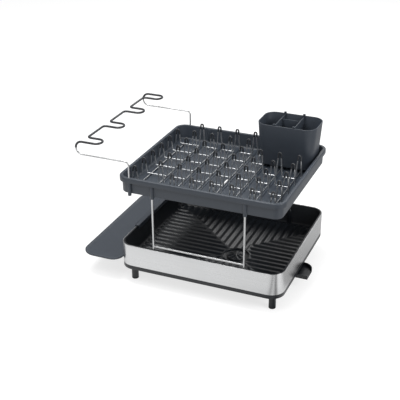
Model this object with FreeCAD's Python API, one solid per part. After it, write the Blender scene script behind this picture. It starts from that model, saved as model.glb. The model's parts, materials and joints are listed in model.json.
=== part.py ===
"""Two-tier dish rack: a ribbed lower tray in a steel band, a wire-legged upper tray
with a plate rack, a cutlery caddy, a stemware rack, a hang-on drip tray and a spout.

Millimetres. +X is right, +Y is back, +Z is up, and the rack stands on Z = 0.
The pieces are worked out about the middle of the base, and are moved along X as they
are written, so that the origin lies under the middle of the whole object.
"""
import FreeCAD
import Part
import math
import os

# Driving sizes: the base
BASE_WIDTH = 410.0
BASE_DEPTH = 365.0
BASE_CORNER = 33.7
GROUND_GAP = 40.0
SKIRT_HEIGHT = 10.5
SKIRT_WALL = 3.0
LEDGE_THICKNESS = 5.0
LEDGE_WIDTH = 18.0
CORNER_PAD = 50.0
BAND_HEIGHT = 54.5
BAND_WALL = 1.2

# Lower tray
RIM_STAND = 0.4
RIM_GAP = 0.2
RIM_WIDTH = 3.6
RIM_BAND_HEIGHT = 10.0
TRAY_WALL = 3.0
TRAY_FLOOR = 3.0
TRAY_DRAFT = 5.6
TRAY_COVE = 5.5
RIB_HEIGHT = 2.8
RIB_WIDTH = 8.8
SIDE_RIB_PITCH = 18.3
SIDE_RIB_OFFSET = -5.2
END_RIB_PITCH = 17.7
END_RIB_OFFSET = 7.4
HIP_RIB_WIDTH = 8.0
HIP_BEND_X = 17.0
HIP_BEND_Y = 50.0

# Drain and spout
DRAIN_X = 43.5
DRAIN_Y = -38.0
BASIN_RADIUS = 32.0
BASIN_DEPTH = 1.5
BASIN_RING = 3.0
OUTLET_BORE = 11.0
OUTLET_WALL = 3.0
OUTLET_LENGTH = 13.2
STRAINER_RADIUS = 22.5
STRAINER_RISE = 7.5
STRAINER_WALL = 2.0
STRAINER_COLLAR_LENGTH = 6.0
STRAINER_EYE = 5.0
STRAINER_SLOTS = 8
STRAINER_SLOT_WIDTH = 3.2
DOME_STEPS = 5
SPOUT_TOP_GAP = 1.5
SPOUT_DEPTH = 10.0
SPOUT_WALL = 2.5
SPOUT_HUB_RADIUS = 30.0
SPOUT_NECK_X = 150.0
SPOUT_OVERHANG = 25.0
SPOUT_FRONT_Y = -50.0
SPOUT_REAR_Y = 12.0
SPOUT_CORNER = 26.0
SPOUT_MOUTH = 30.0
CLIP_WIDTH = 4.5
CLIP_HEIGHT = 2.7

# Feet
FOOT_INSET_X = 27.7
FOOT_INSET_Y = 29.5
FOOT_RADIUS = 8.5
FOOT_FLARE = 2.5
FOOT_SPIGOT = 4.0
FOOT_SPIGOT_LENGTH = 4.7
PAD_HEIGHT = 3.0
PAD_STEM_RADIUS = 3.0
PAD_STEM_LENGTH = 4.0

# Legs
LEG_X = 113.6
LEG_BASE_INSET = 6.5
LEG_UPPER_INSET = 6.25
LEG_RADIUS = 2.5
CROSS_WIRE_HEIGHT = 113.0
LEG_SOCKET_WIDTH = 12.0
LEG_SOCKET_LIP = 5.0
LEG_SOCKET_HEIGHT = 37.0
LEG_SEAT_ABOVE_LEDGE = 11.0

# Upper tray
UPPER_WIDTH = 406.0
UPPER_DEPTH = 364.5
UPPER_CORNER = 27.0
UPPER_BOTTOM = 242.0
UPPER_HEIGHT = 40.4
LIP_HEIGHT = 12.5
LIP_OVERHANG = 5.5
LIP_WALL = 2.2
LIP_FILLET = 3.0
UPPER_RIM_WIDTH = 8.0
UPPER_WALL = 2.5
UPPER_FLOOR = 2.5
UPPER_DRAFT = 1.0
UPPER_COVE = 3.5
UPPER_FOOT_CORNER = 17.0
FLOOR_RIB_FIRST_X = -170.0
FLOOR_RIB_PITCH = 48.0
FLOOR_RIB_COUNT = 7
FLOOR_RIB_WIDTH = 8.5
FLOOR_RIB_HEIGHT = 2.3
DRAIN_SLOT_X = 14.0
DRAIN_SLOT_Y = -37.5
DRAIN_SLOT_WIDTH = 7.0
DRAIN_SLOT_LENGTH = 36.0
LEG_TUBE_RADIUS = 4.75
POST_TUBE_RADIUS = 4.2
TUBE_DROP = 4.5
LEG_INSERTION = 24.0
TUBE_RECESS_WIDTH = 5.0
TUBE_RECESS_DEPTH = 1.4

# Plate rack
TIE_RADIUS = 1.2
ROW_RADIUS = 1.6
ROW_COUNT = 6
ROW_SIDE_INSET = 57.25
FRONT_ROW_INSET = 15.25
ROW_LEFT_INSET = 12.0
ROW_RIGHT_INSET = 17.0
LOOP_COUNT = 7
LOOP_START = 77.0
LOOP_END = 11.4
LOOP_HEIGHT = 64.5
FRONT_LOOP_HEIGHT = 56.5
SHORT_LOOP_HEIGHT = 40.5
SHORT_LOOP_START = 9.0
LOOP_FOOT = 7.5
LOOP_FOOT_BEND = 3.0
LOOP_CROWN = 3.2
FRONT_ROW_SKIPS = 1
TIE_OVERHANG = 4.0
TIP_LENGTH = 15.0
TIP_SKIN = 0.6

# Caddy and its dividers
CADDY_SIDE_INSET = 6.7
CADDY_REAR_INSET = 19.55
CADDY_WIDTH = 147.5
CADDY_DEPTH = 96.0
CADDY_CORNER = 27.5
CADDY_HEIGHT = 107.2
CADDY_TAPER = 8.3
CADDY_WALL = 2.2
CADDY_SLOT_COUNT = 5
CADDY_SLOT_WIDTH = 4.0
CADDY_SLOT_LENGTH = 46.0
DIVIDER_SPREAD = 48.5
DIVIDER_OFFSET = -3.25
DIVIDER_WALL = 1.8
DIVIDER_DEPTH = 82.0
DIVIDER_DROP = 2.0
CROSS_DIVIDER_OFFSET = 20.3
HOOK_WIDTH = 6.0
HOOK_RISE = 4.0
HOOK_TAIL = 5.0
HOOK_ROOT = 1.0

# Stemware rack
POST_INSET_X = 33.0
POST_INSET_Y = 4.25
STEM_RADIUS = 2.0
STEM_COAT = 0.75
POST_INSERTION = 41.0
ARM_RISE = 38.6
ARM_BEND = 9.0
TURN_RADIUS = 16.0
RAIL_REACH = 120.0
FINGER_LENGTH = 46.0
FINGER_HALF_WIDTH = 14.5
FINGER_COUNT = 4
FINGER_CORNER = 8.0

# Drip tray
DRIP_WIDTH = 106.8
DRIP_OVERHANG = 0.5
DRIP_BOTTOM = 54.0
DRIP_FLOOR = 2.2
DRIP_RIM = 4.6
DRIP_RIM_WIDTH = 2.4
DRIP_INNER_CORNER = 27.0
DRIP_OUTER_CORNER = 35.0
DRIP_COVE = 8.0
DRIP_BACK_WALL = 2.4
DRIP_BACK_TOP = 89.0
DRIP_BACK_HALF = 150.0
DRIP_HOOK_HALF = 86.0
DRIP_HOOK_WALL = 2.0
DRIP_HOOK_TAIL = 10.0

# Clearances
REST_GAP = 0.3
SLIDE_GAP = 0.08
NEST_GAP = 0.4
SEAT_GAP = 0.05
DRIP_SIDE_GAP = 1.2

# Margins for cuts and comparisons
CUT_MARGIN = 1.0
ARC_SLACK = 0.1
SAME_PLACE = 0.01

# Heights and places worked out from the sizes above
SKIRT_TOP = GROUND_GAP + SKIRT_HEIGHT
LEDGE_TOP = GROUND_GAP + LEDGE_THICKNESS
BAND_TOP = SKIRT_TOP + BAND_HEIGHT
RIM_TOP = BAND_TOP + RIM_STAND
FLOOR_TOP = LEDGE_TOP + TRAY_FLOOR
BASIN_FLOOR = FLOOR_TOP - BASIN_DEPTH
RIM_INSET = BAND_WALL + RIM_GAP
TRAY_OUTER_INSET = RIM_INSET + TRAY_DRAFT
TRAY_INNER_INSET = TRAY_OUTER_INSET + TRAY_WALL
TRAY_FLOOR_INSET = TRAY_INNER_INSET + TRAY_COVE
OUTLET_RADIUS = OUTLET_BORE + OUTLET_WALL
OUTLET_END = LEDGE_TOP - OUTLET_LENGTH
SPOUT_TOP = GROUND_GAP - SPOUT_TOP_GAP
SPOUT_BOTTOM = SPOUT_TOP - SPOUT_DEPTH
SPOUT_TIP_X = BASE_WIDTH / 2 + SPOUT_OVERHANG
FOOT_X = BASE_WIDTH / 2 - FOOT_INSET_X
FOOT_Y = BASE_DEPTH / 2 - FOOT_INSET_Y
LEG_Y = min(BASE_DEPTH / 2 - LEG_BASE_INSET, UPPER_DEPTH / 2 - LEG_UPPER_INSET)
LEG_SEAT = LEDGE_TOP + LEG_SEAT_ABOVE_LEDGE
UPPER_TOP = UPPER_BOTTOM + UPPER_HEIGHT
LIP_BOTTOM = UPPER_TOP - LIP_HEIGHT
LIP_ROOF = UPPER_TOP - LIP_WALL
UPPER_FLOOR_TOP = UPPER_BOTTOM + UPPER_FLOOR
UPPER_OUTER_INSET = LIP_OVERHANG + UPPER_DRAFT
UPPER_INNER_INSET = UPPER_OUTER_INSET + UPPER_WALL
UPPER_FLOOR_INSET = UPPER_INNER_INSET + UPPER_COVE
TUBE_BOTTOM = UPPER_BOTTOM - TUBE_DROP
LEG_TOP = TUBE_BOTTOM + LEG_INSERTION
FLOOR_RIB_TOP = UPPER_FLOOR_TOP + FLOOR_RIB_HEIGHT
TIE_Z = FLOOR_RIB_TOP + REST_GAP + TIE_RADIUS
ROW_Z = TIE_Z + TIE_RADIUS + ROW_RADIUS
ROW_START_X = ROW_LEFT_INSET - UPPER_WIDTH / 2
ROW_END_X = UPPER_WIDTH / 2 - ROW_RIGHT_INSET
LAST_ROW_Y = UPPER_DEPTH / 2 - ROW_SIDE_INSET
FRONT_ROW_Y = FRONT_ROW_INSET - UPPER_DEPTH / 2
ROW_PITCH = 2 * LAST_ROW_Y / (ROW_COUNT - 1)
LOOP_FIRST_X = ROW_START_X + LOOP_START
LOOP_PITCH = (ROW_END_X - LOOP_END - LOOP_FIRST_X) / (LOOP_COUNT - 1)
LOOP_BOTTOM = ROW_Z - ROW_RADIUS
SHORT_LOOP_X = ROW_START_X + SHORT_LOOP_START
FIRST_TIE_X = SHORT_LOOP_X + 2 * LOOP_FOOT
TIE_SETBACK = LOOP_FOOT + LOOP_FOOT_BEND
CADDY_BOTTOM = ROW_Z + ROW_RADIUS + REST_GAP
CADDY_TOP = CADDY_BOTTOM + CADDY_HEIGHT
CADDY_X = UPPER_WIDTH / 2 - CADDY_SIDE_INSET - CADDY_WIDTH / 2
CADDY_Y = UPPER_DEPTH / 2 - CADDY_REAR_INSET - CADDY_DEPTH / 2
DIVIDER_X = CADDY_X + DIVIDER_OFFSET
CROSS_DIVIDER_Y = CADDY_Y + CROSS_DIVIDER_OFFSET
POST_X = POST_INSET_X - UPPER_WIDTH / 2
POST_Y = UPPER_DEPTH / 2 - POST_INSET_Y
DRIP_HALF_DEPTH = BASE_DEPTH / 2 + DRIP_OVERHANG
RAIL_X = POST_X - RAIL_REACH
FINGER_TIP_X = RAIL_X + FINGER_LENGTH
FINGER_PITCH = 2 * (POST_Y - FINGER_HALF_WIDTH) / (FINGER_COUNT - 1)
ARM_HEIGHT = UPPER_TOP + ARM_RISE
TURN_X = RAIL_X - TURN_RADIUS
TURN_Z = ARM_HEIGHT + TURN_RADIUS
SERPENTINE_Z = ARM_HEIGHT + 2 * TURN_RADIUS
POST_BOTTOM = UPPER_TOP - POST_INSERTION
DRIP_WALL_X = -BASE_WIDTH / 2 - DRIP_SIDE_GAP
DRIP_REACH = DRIP_WIDTH - DRIP_WALL_X
DRIP_HOOK_TOP = RIM_TOP + REST_GAP + DRIP_HOOK_WALL
LEFT_REACH = max(DRIP_REACH, TURN_RADIUS - RAIL_X + STEM_RADIUS + STEM_COAT)
ORIGIN_SHIFT = (LEFT_REACH - SPOUT_TIP_X) / 2


def point(x, y, z=0.0):
    """A point or a direction."""
    return FreeCAD.Vector(x, y, z)


UP = point(0, 0, 1)


def outline(width, depth, radius, z, centre=(0.0, 0.0), left_radius=None):
    """A rounded rectangle, level at height z, with its own radius at the left if given."""
    half_x = width / 2
    half_y = depth / 2
    left = radius if left_radius is None else left_radius
    corners = (
        (half_x, -half_y, radius, -90),
        (half_x, half_y, radius, 0),
        (-half_x, half_y, left, 90),
        (-half_x, -half_y, left, 180),
    )
    edges = []
    ends = []
    for x, y, bend, angle in corners:
        middle_x = centre[0] + x - math.copysign(bend, x)
        middle_y = centre[1] + y - math.copysign(bend, y)
        middle = point(middle_x, middle_y, z)
        places = []
        for turn in (angle, angle + 45, angle + 90):
            offset = point(math.cos(math.radians(turn)), math.sin(math.radians(turn)))
            places.append(middle + offset * bend)
        ends.append(places)
    for index, places in enumerate(ends):
        following = ends[(index + 1) % len(ends)]
        edges.append(Part.Arc(*places).toShape())
        edges.append(Part.LineSegment(places[2], following[0]).toShape())
    return Part.Wire(edges)


def slab(width, depth, radius, low, high, centre=(0.0, 0.0), left_radius=None):
    """A rounded rectangle between two heights."""
    face = Part.Face(outline(width, depth, radius, low, centre, left_radius))
    return face.extrude(UP * (high - low))


def inset_slab(width, depth, radius, inset, low, high):
    """A slab drawn in by inset on all sides."""
    return slab(width - 2 * inset, depth - 2 * inset, radius - inset, low, high)


def draw_in(width, depth, radius, steps, centre=(0.0, 0.0)):
    """A solid whose outline is drawn in by each step's inset at that step's height."""
    wires = []
    for inset, z in steps:
        wires.append(outline(width - 2 * inset, depth - 2 * inset, radius - inset, z, centre))
    return Part.makeLoft(wires, True, True)


def box(x, y, z):
    """A box from pairs of limits along X, Y and Z."""
    return Part.makeBox(x[1] - x[0], y[1] - y[0], z[1] - z[0], point(x[0], y[0], z[0]))


def upright(radius, low, high, x, y):
    """An upright cylinder between two heights."""
    return Part.makeCylinder(radius, high - low, point(x, y, low))


def rod(start, end, radius):
    """A straight round rod."""
    return Part.makeCylinder(radius, (end - start).Length, start, end - start)


def turned(profile, x, y):
    """A solid of revolution about an upright axis, from (radius, height) pairs."""
    corners = [point(radius, 0, z) for radius, z in profile]
    face = Part.Face(Part.makePolygon(corners + corners[:1]))
    solid = face.revolve(point(0, 0, 0), UP, 360)
    solid.translate(point(x, y))
    return solid


def bent_path(points, bends):
    """Straight runs joined by tangent arcs, with one bend radius for each inner point."""
    edges = []
    last = points[0]
    for index, bend in enumerate(bends):
        corner = points[index + 1]
        arriving = (corner - points[index]).normalize()
        leaving = (points[index + 2] - corner).normalize()
        turn = arriving.getAngle(leaving)
        setback = bend * math.tan(turn / 2)
        start = corner - arriving * setback
        end = corner + leaving * setback
        inward = (leaving - arriving).normalize()
        centre = corner + inward * (bend / math.cos(turn / 2))
        if (start - last).Length > SAME_PLACE:
            edges.append(Part.LineSegment(last, start).toShape())
        edges.append(Part.Arc(start, centre - inward * bend, end).toShape())
        last = end
    if (points[-1] - last).Length > SAME_PLACE:
        edges.append(Part.LineSegment(last, points[-1]).toShape())
    return Part.Wire(edges)


def bent_rod(path, radius):
    """A round section swept along a path."""
    first = path.Edges[0]
    start = first.valueAt(first.FirstParameter)
    heading = first.tangentAt(first.FirstParameter)
    section = Part.Wire(Part.Circle(start, heading, radius).toShape())
    return path.makePipeShell([section], True, False)


def joined(first, others):
    """One solid from pieces that overlap."""
    return first.multiFuse(others).removeSplitter()


def corner_places(x, y):
    """The four places that lie at x and y from the middle, with their names."""
    return (
        ("front_left", -x, -y),
        ("front_right", x, -y),
        ("rear_left", -x, y),
        ("rear_right", x, y),
    )


def make_base_frame():
    """Skirt that carries the band, with a ledge and corner pads for the tray and feet."""
    frame = slab(BASE_WIDTH, BASE_DEPTH, BASE_CORNER, GROUND_GAP, SKIRT_TOP)
    frame = frame.cut(inset_slab(BASE_WIDTH, BASE_DEPTH, BASE_CORNER, SKIRT_WALL, LEDGE_TOP, SKIRT_TOP))
    inner_x = BASE_WIDTH / 2 - LEDGE_WIDTH
    inner_y = BASE_DEPTH / 2 - LEDGE_WIDTH
    pad_x = BASE_WIDTH / 2 - CORNER_PAD
    pad_y = BASE_DEPTH / 2 - CORNER_PAD
    levels = (GROUND_GAP, LEDGE_TOP)
    opening = box((-inner_x, inner_x), (-pad_y, pad_y), levels)
    opening = opening.fuse(box((-pad_x, pad_x), (-inner_y, inner_y), levels))
    frame = frame.cut(opening)
    for _, x, y in corner_places(FOOT_X, FOOT_Y):
        frame = frame.cut(upright(FOOT_SPIGOT, GROUND_GAP, LEDGE_TOP, x, y))
    return frame


def make_steel_band():
    """Thin steel ring round the lower tray, standing on the skirt."""
    band = slab(BASE_WIDTH, BASE_DEPTH, BASE_CORNER, SKIRT_TOP, BAND_TOP)
    return band.cut(inset_slab(BASE_WIDTH, BASE_DEPTH, BASE_CORNER, BAND_WALL, SKIRT_TOP, BAND_TOP))


def hip_line(side_x, side_y):
    """Plan of the hip from the drain to one corner of the floor; the rear right one bends."""
    corner = (side_x * (BASE_WIDTH / 2 - TRAY_FLOOR_INSET), side_y * (BASE_DEPTH / 2 - TRAY_FLOOR_INSET))
    if side_x > 0 and side_y > 0:
        bend = (DRAIN_X + HIP_BEND_X, DRAIN_Y + HIP_BEND_Y)
        return [(bend[0], DRAIN_Y), bend, corner]
    return [(DRAIN_X, DRAIN_Y), corner]


def crossing(line, value, axis):
    """The other coordinate at which a line from the drain reaches value along one axis."""
    other = 1 - axis
    for start, end in zip(line, line[1:]):
        span = end[axis] - start[axis]
        share = (value - start[axis]) / span if span else math.inf
        if share < 0:
            return line[0][other]
        if share <= 1:
            return start[other] + share * (end[other] - start[other])
    return line[-1][other]


def hip_x(y, side):
    """Where the hip at the left or right lies at this depth."""
    return crossing(hip_line(side, math.copysign(1, y - DRAIN_Y)), y, 1)


def hip_y(x, side):
    """Where the hip at the front or rear lies at this width."""
    return crossing(hip_line(math.copysign(1, x - DRAIN_X), side), x, 0)


def spread(low, high, pitch, through):
    """Places between low and high, a pitch apart, one of which lies at through."""
    first = math.ceil((low - through) / pitch)
    last = math.floor((high - through) / pitch)
    return [through + pitch * step for step in range(first, last + 1)]


def make_ridge(start, end, levels):
    """A level bar from one plan point to another."""
    run = end - start
    ridge = box((0, run.Length), (-HIP_RIB_WIDTH / 2, HIP_RIB_WIDTH / 2), levels)
    ridge.rotate(point(0, 0), UP, math.degrees(math.atan2(run.y, run.x)))
    return moved(ridge, start.x, start.y)


def make_floor_ribs():
    """Drainage ribs in four fields that meet on the hip lines, with a ridge on each hip."""
    limit_x = BASE_WIDTH / 2 - TRAY_FLOOR_INSET
    limit_y = BASE_DEPTH / 2 - TRAY_FLOOR_INSET
    levels = (FLOOR_TOP - RIB_HEIGHT / 2, FLOOR_TOP + RIB_HEIGHT)
    half = RIB_WIDTH / 2
    root = BASIN_RADIUS + BASIN_RING / 2
    wall_x = limit_x + TRAY_COVE
    wall_y = limit_y + TRAY_COVE
    ribs = []
    for y in spread(half - limit_y, limit_y - half, SIDE_RIB_PITCH, DRAIN_Y + SIDE_RIB_OFFSET):
        hidden = math.sqrt(max(root ** 2 - (y - DRAIN_Y) ** 2, 0))
        left_end = min(hip_x(y, -1), DRAIN_X - hidden)
        right_end = max(hip_x(y, 1), DRAIN_X + hidden)
        if left_end + limit_x > RIB_WIDTH:
            ribs.append(box((-wall_x, left_end), (y - half, y + half), levels))
        if limit_x - right_end > RIB_WIDTH:
            ribs.append(box((right_end, wall_x), (y - half, y + half), levels))
    for x in spread(half - limit_x, limit_x - half, END_RIB_PITCH, DRAIN_X + END_RIB_OFFSET):
        hidden = math.sqrt(max(root ** 2 - (x - DRAIN_X) ** 2, 0))
        front_end = min(hip_y(x, -1), DRAIN_Y - hidden)
        rear_end = max(hip_y(x, 1), DRAIN_Y + hidden)
        if front_end + limit_y > RIB_WIDTH:
            ribs.append(box((x - half, x + half), (-wall_y, front_end), levels))
        if limit_y - rear_end > RIB_WIDTH:
            ribs.append(box((x - half, x + half), (rear_end, wall_y), levels))
    for _, side_x, side_y in corner_places(1, 1):
        line = hip_line(side_x, side_y)
        for start, end in zip(line, line[1:]):
            ribs.append(make_ridge(point(*start), point(*end), levels))
        ribs += [upright(HIP_RIB_WIDTH / 2, *levels, *bend) for bend in line[1:-1]]
    ring = upright(BASIN_RADIUS + BASIN_RING, levels[0], levels[1], DRAIN_X, DRAIN_Y)
    ribs.append(ring)
    return ribs


def make_lower_tray():
    """Drafted tray whose floor ribs lead to a drain basin with an outlet tube below."""
    sizes = (BASE_WIDTH, BASE_DEPTH, BASE_CORNER)
    shoulder = RIM_TOP - RIM_BAND_HEIGHT
    shell = draw_in(*sizes, ((TRAY_OUTER_INSET, LEDGE_TOP), (RIM_INSET, shoulder), (RIM_INSET, RIM_TOP)))
    cavity_steps = (
        (TRAY_FLOOR_INSET, FLOOR_TOP),
        (TRAY_INNER_INSET, FLOOR_TOP + TRAY_COVE),
        (RIM_INSET + RIM_WIDTH, RIM_TOP),
    )
    cavity = draw_in(*sizes, cavity_steps)
    tray = shell.cut(cavity)
    additions = [rib.common(shell) for rib in make_floor_ribs()]
    wall_y = BASE_DEPTH / 2 - RIM_INSET - REST_GAP
    for _, x, y in corner_places(LEG_X, LEG_Y):
        limits = sorted((math.copysign(wall_y, y), math.copysign(LEG_Y - LEG_SOCKET_LIP, y)))
        reach = (x - LEG_SOCKET_WIDTH / 2, x + LEG_SOCKET_WIDTH / 2)
        levels = (SKIRT_TOP + SEAT_GAP, SKIRT_TOP + LEG_SOCKET_HEIGHT)
        additions.append(box(reach, limits, levels))
    additions.append(upright(OUTLET_RADIUS, OUTLET_END, FLOOR_TOP, DRAIN_X, DRAIN_Y))
    tray = joined(tray, additions)
    cuts = [
        upright(BASIN_RADIUS, BASIN_FLOOR, RIM_TOP, DRAIN_X, DRAIN_Y),
        upright(OUTLET_BORE, OUTLET_END, RIM_TOP, DRAIN_X, DRAIN_Y),
    ]
    for _, x, y in corner_places(LEG_X, LEG_Y):
        cuts.append(upright(LEG_RADIUS + SEAT_GAP, LEG_SEAT, RIM_TOP, x, y))
    return tray.cut(cuts)


def make_drain_strainer():
    """Domed, slotted cover that drops into the outlet by a short collar."""
    low = BASIN_FLOOR + REST_GAP
    high = low + STRAINER_RISE
    collar = OUTLET_BORE - NEST_GAP
    foot = low - STRAINER_COLLAR_LENGTH
    shoulder = low + STRAINER_WALL
    profile = [(collar, foot), (collar, low), (STRAINER_RADIUS, low)]
    for step in range(DOME_STEPS):
        turn = math.radians(90 * step / DOME_STEPS)
        profile.append((STRAINER_RADIUS * math.cos(turn), shoulder + (high - shoulder) * math.sin(turn)))
    inner = collar - STRAINER_WALL
    roof = high - STRAINER_WALL
    profile += [(0, high), (0, roof), (inner, roof), (inner, foot)]
    strainer = turned(profile, DRAIN_X, DRAIN_Y)
    for index in range(STRAINER_SLOTS):
        half = STRAINER_SLOT_WIDTH / 2
        slot = box((STRAINER_EYE, inner), (-half, half), (roof - STRAINER_WALL, high + CUT_MARGIN))
        slot.rotate(point(0, 0), UP, 360 * index / STRAINER_SLOTS)
        slot.translate(point(DRAIN_X, DRAIN_Y))
        strainer = strainer.cut(slot)
    return strainer


def spout_plan(inset, z):
    """Plan of the spout: a round hub that widens to a square-ended mouth."""
    hub = SPOUT_HUB_RADIUS - inset
    front = SPOUT_FRONT_Y + inset
    rear = SPOUT_REAR_Y - inset
    tip = SPOUT_TIP_X - inset
    bend = SPOUT_CORNER - inset
    diagonal = bend * math.sqrt(0.5)
    hub_front = point(DRAIN_X, DRAIN_Y - hub, z)
    hub_rear = point(DRAIN_X, DRAIN_Y + hub, z)
    neck_front = point(SPOUT_NECK_X, front, z)
    neck_rear = point(SPOUT_NECK_X, rear, z)
    corner_start = point(tip - bend, rear, z)
    corner_middle = point(tip - bend + diagonal, rear - bend + diagonal, z)
    corner_end = point(tip, rear - bend, z)
    tip_front = point(tip, front, z)
    edges = [
        Part.Arc(hub_rear, point(DRAIN_X - hub, DRAIN_Y, z), hub_front).toShape(),
        Part.LineSegment(hub_front, neck_front).toShape(),
        Part.LineSegment(neck_front, tip_front).toShape(),
        Part.LineSegment(tip_front, corner_end).toShape(),
        Part.Arc(corner_end, corner_middle, corner_start).toShape(),
        Part.LineSegment(corner_start, neck_rear).toShape(),
        Part.LineSegment(neck_rear, hub_rear).toShape(),
    ]
    return Part.Face(Part.Wire(edges))


def make_swivel_spout():
    """Open channel that turns about the outlet tube and pours past the base's edge."""
    channel = spout_plan(0, SPOUT_BOTTOM).extrude(UP * SPOUT_DEPTH)
    hollow = spout_plan(SPOUT_WALL, SPOUT_BOTTOM + SPOUT_WALL).extrude(UP * SPOUT_DEPTH)
    above = SPOUT_TOP + SPOUT_WALL
    lid_x = (DRAIN_X - SPOUT_HUB_RADIUS, DRAIN_X + SPOUT_HUB_RADIUS)
    lid = box(lid_x, (-BASE_DEPTH, BASE_DEPTH), (SPOUT_TOP - SPOUT_WALL, above))
    channel = channel.cut(hollow.cut(lid))
    middle = (SPOUT_FRONT_Y + SPOUT_REAR_Y - SPOUT_CORNER / 2) / 2
    mouth = box(
        (SPOUT_TIP_X - 2 * SPOUT_WALL, SPOUT_TIP_X + CUT_MARGIN),
        (middle - SPOUT_MOUTH / 2, middle + SPOUT_MOUTH / 2),
        (SPOUT_BOTTOM + SPOUT_WALL, above),
    )
    bore = upright(OUTLET_RADIUS + SLIDE_GAP, SPOUT_BOTTOM + SPOUT_WALL, above, DRAIN_X, DRAIN_Y)
    return channel.cut([mouth, bore])


def make_spout_clip():
    """Snap ring on the outlet tube that holds the spout up."""
    high = SPOUT_TOP - SPOUT_WALL - REST_GAP
    ring = upright(OUTLET_RADIUS + CLIP_WIDTH, high - CLIP_HEIGHT, high, DRAIN_X, DRAIN_Y)
    return ring.cut(upright(OUTLET_RADIUS + SEAT_GAP, high - CLIP_HEIGHT, high, DRAIN_X, DRAIN_Y))


def make_foot(x, y):
    """Turned foot with a flared head, a spigot for the base frame and a hole for its pad."""
    hole = PAD_STEM_RADIUS + SEAT_GAP
    hole_top = PAD_HEIGHT + PAD_STEM_LENGTH + REST_GAP
    spigot = FOOT_SPIGOT - SEAT_GAP
    profile = [
        (hole, PAD_HEIGHT),
        (FOOT_RADIUS, PAD_HEIGHT),
        (FOOT_RADIUS, GROUND_GAP - FOOT_FLARE),
        (FOOT_RADIUS + FOOT_FLARE / 3, GROUND_GAP - FOOT_FLARE / 3),
        (FOOT_RADIUS + FOOT_FLARE, GROUND_GAP),
        (spigot, GROUND_GAP),
        (spigot, GROUND_GAP + FOOT_SPIGOT_LENGTH),
        (0, GROUND_GAP + FOOT_SPIGOT_LENGTH),
        (0, hole_top),
        (hole, hole_top),
    ]
    return turned(profile, x, y)


def make_foot_pad(x, y):
    """Rubber pad with a stem that pushes into the foot."""
    stem_top = PAD_HEIGHT + PAD_STEM_LENGTH
    chamfer = PAD_HEIGHT / 4
    profile = [
        (0, 0),
        (FOOT_RADIUS - chamfer, 0),
        (FOOT_RADIUS, chamfer),
        (FOOT_RADIUS, PAD_HEIGHT),
        (PAD_STEM_RADIUS, PAD_HEIGHT),
        (PAD_STEM_RADIUS, stem_top),
        (0, stem_top),
    ]
    return turned(profile, x, y)


def make_leg_frame(y):
    """Two upright wires and the cross wire welded between them."""
    low = LEG_SEAT + SEAT_GAP
    high = LEG_TOP - REST_GAP
    legs = [upright(LEG_RADIUS, low, high, x, y) for x in (-LEG_X, LEG_X)]
    inner = LEG_X - LEG_RADIUS
    cross = rod(point(-inner, y, CROSS_WIRE_HEIGHT), point(inner, y, CROSS_WIRE_HEIGHT), LEG_RADIUS)
    return Part.makeCompound(legs + [cross])


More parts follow.
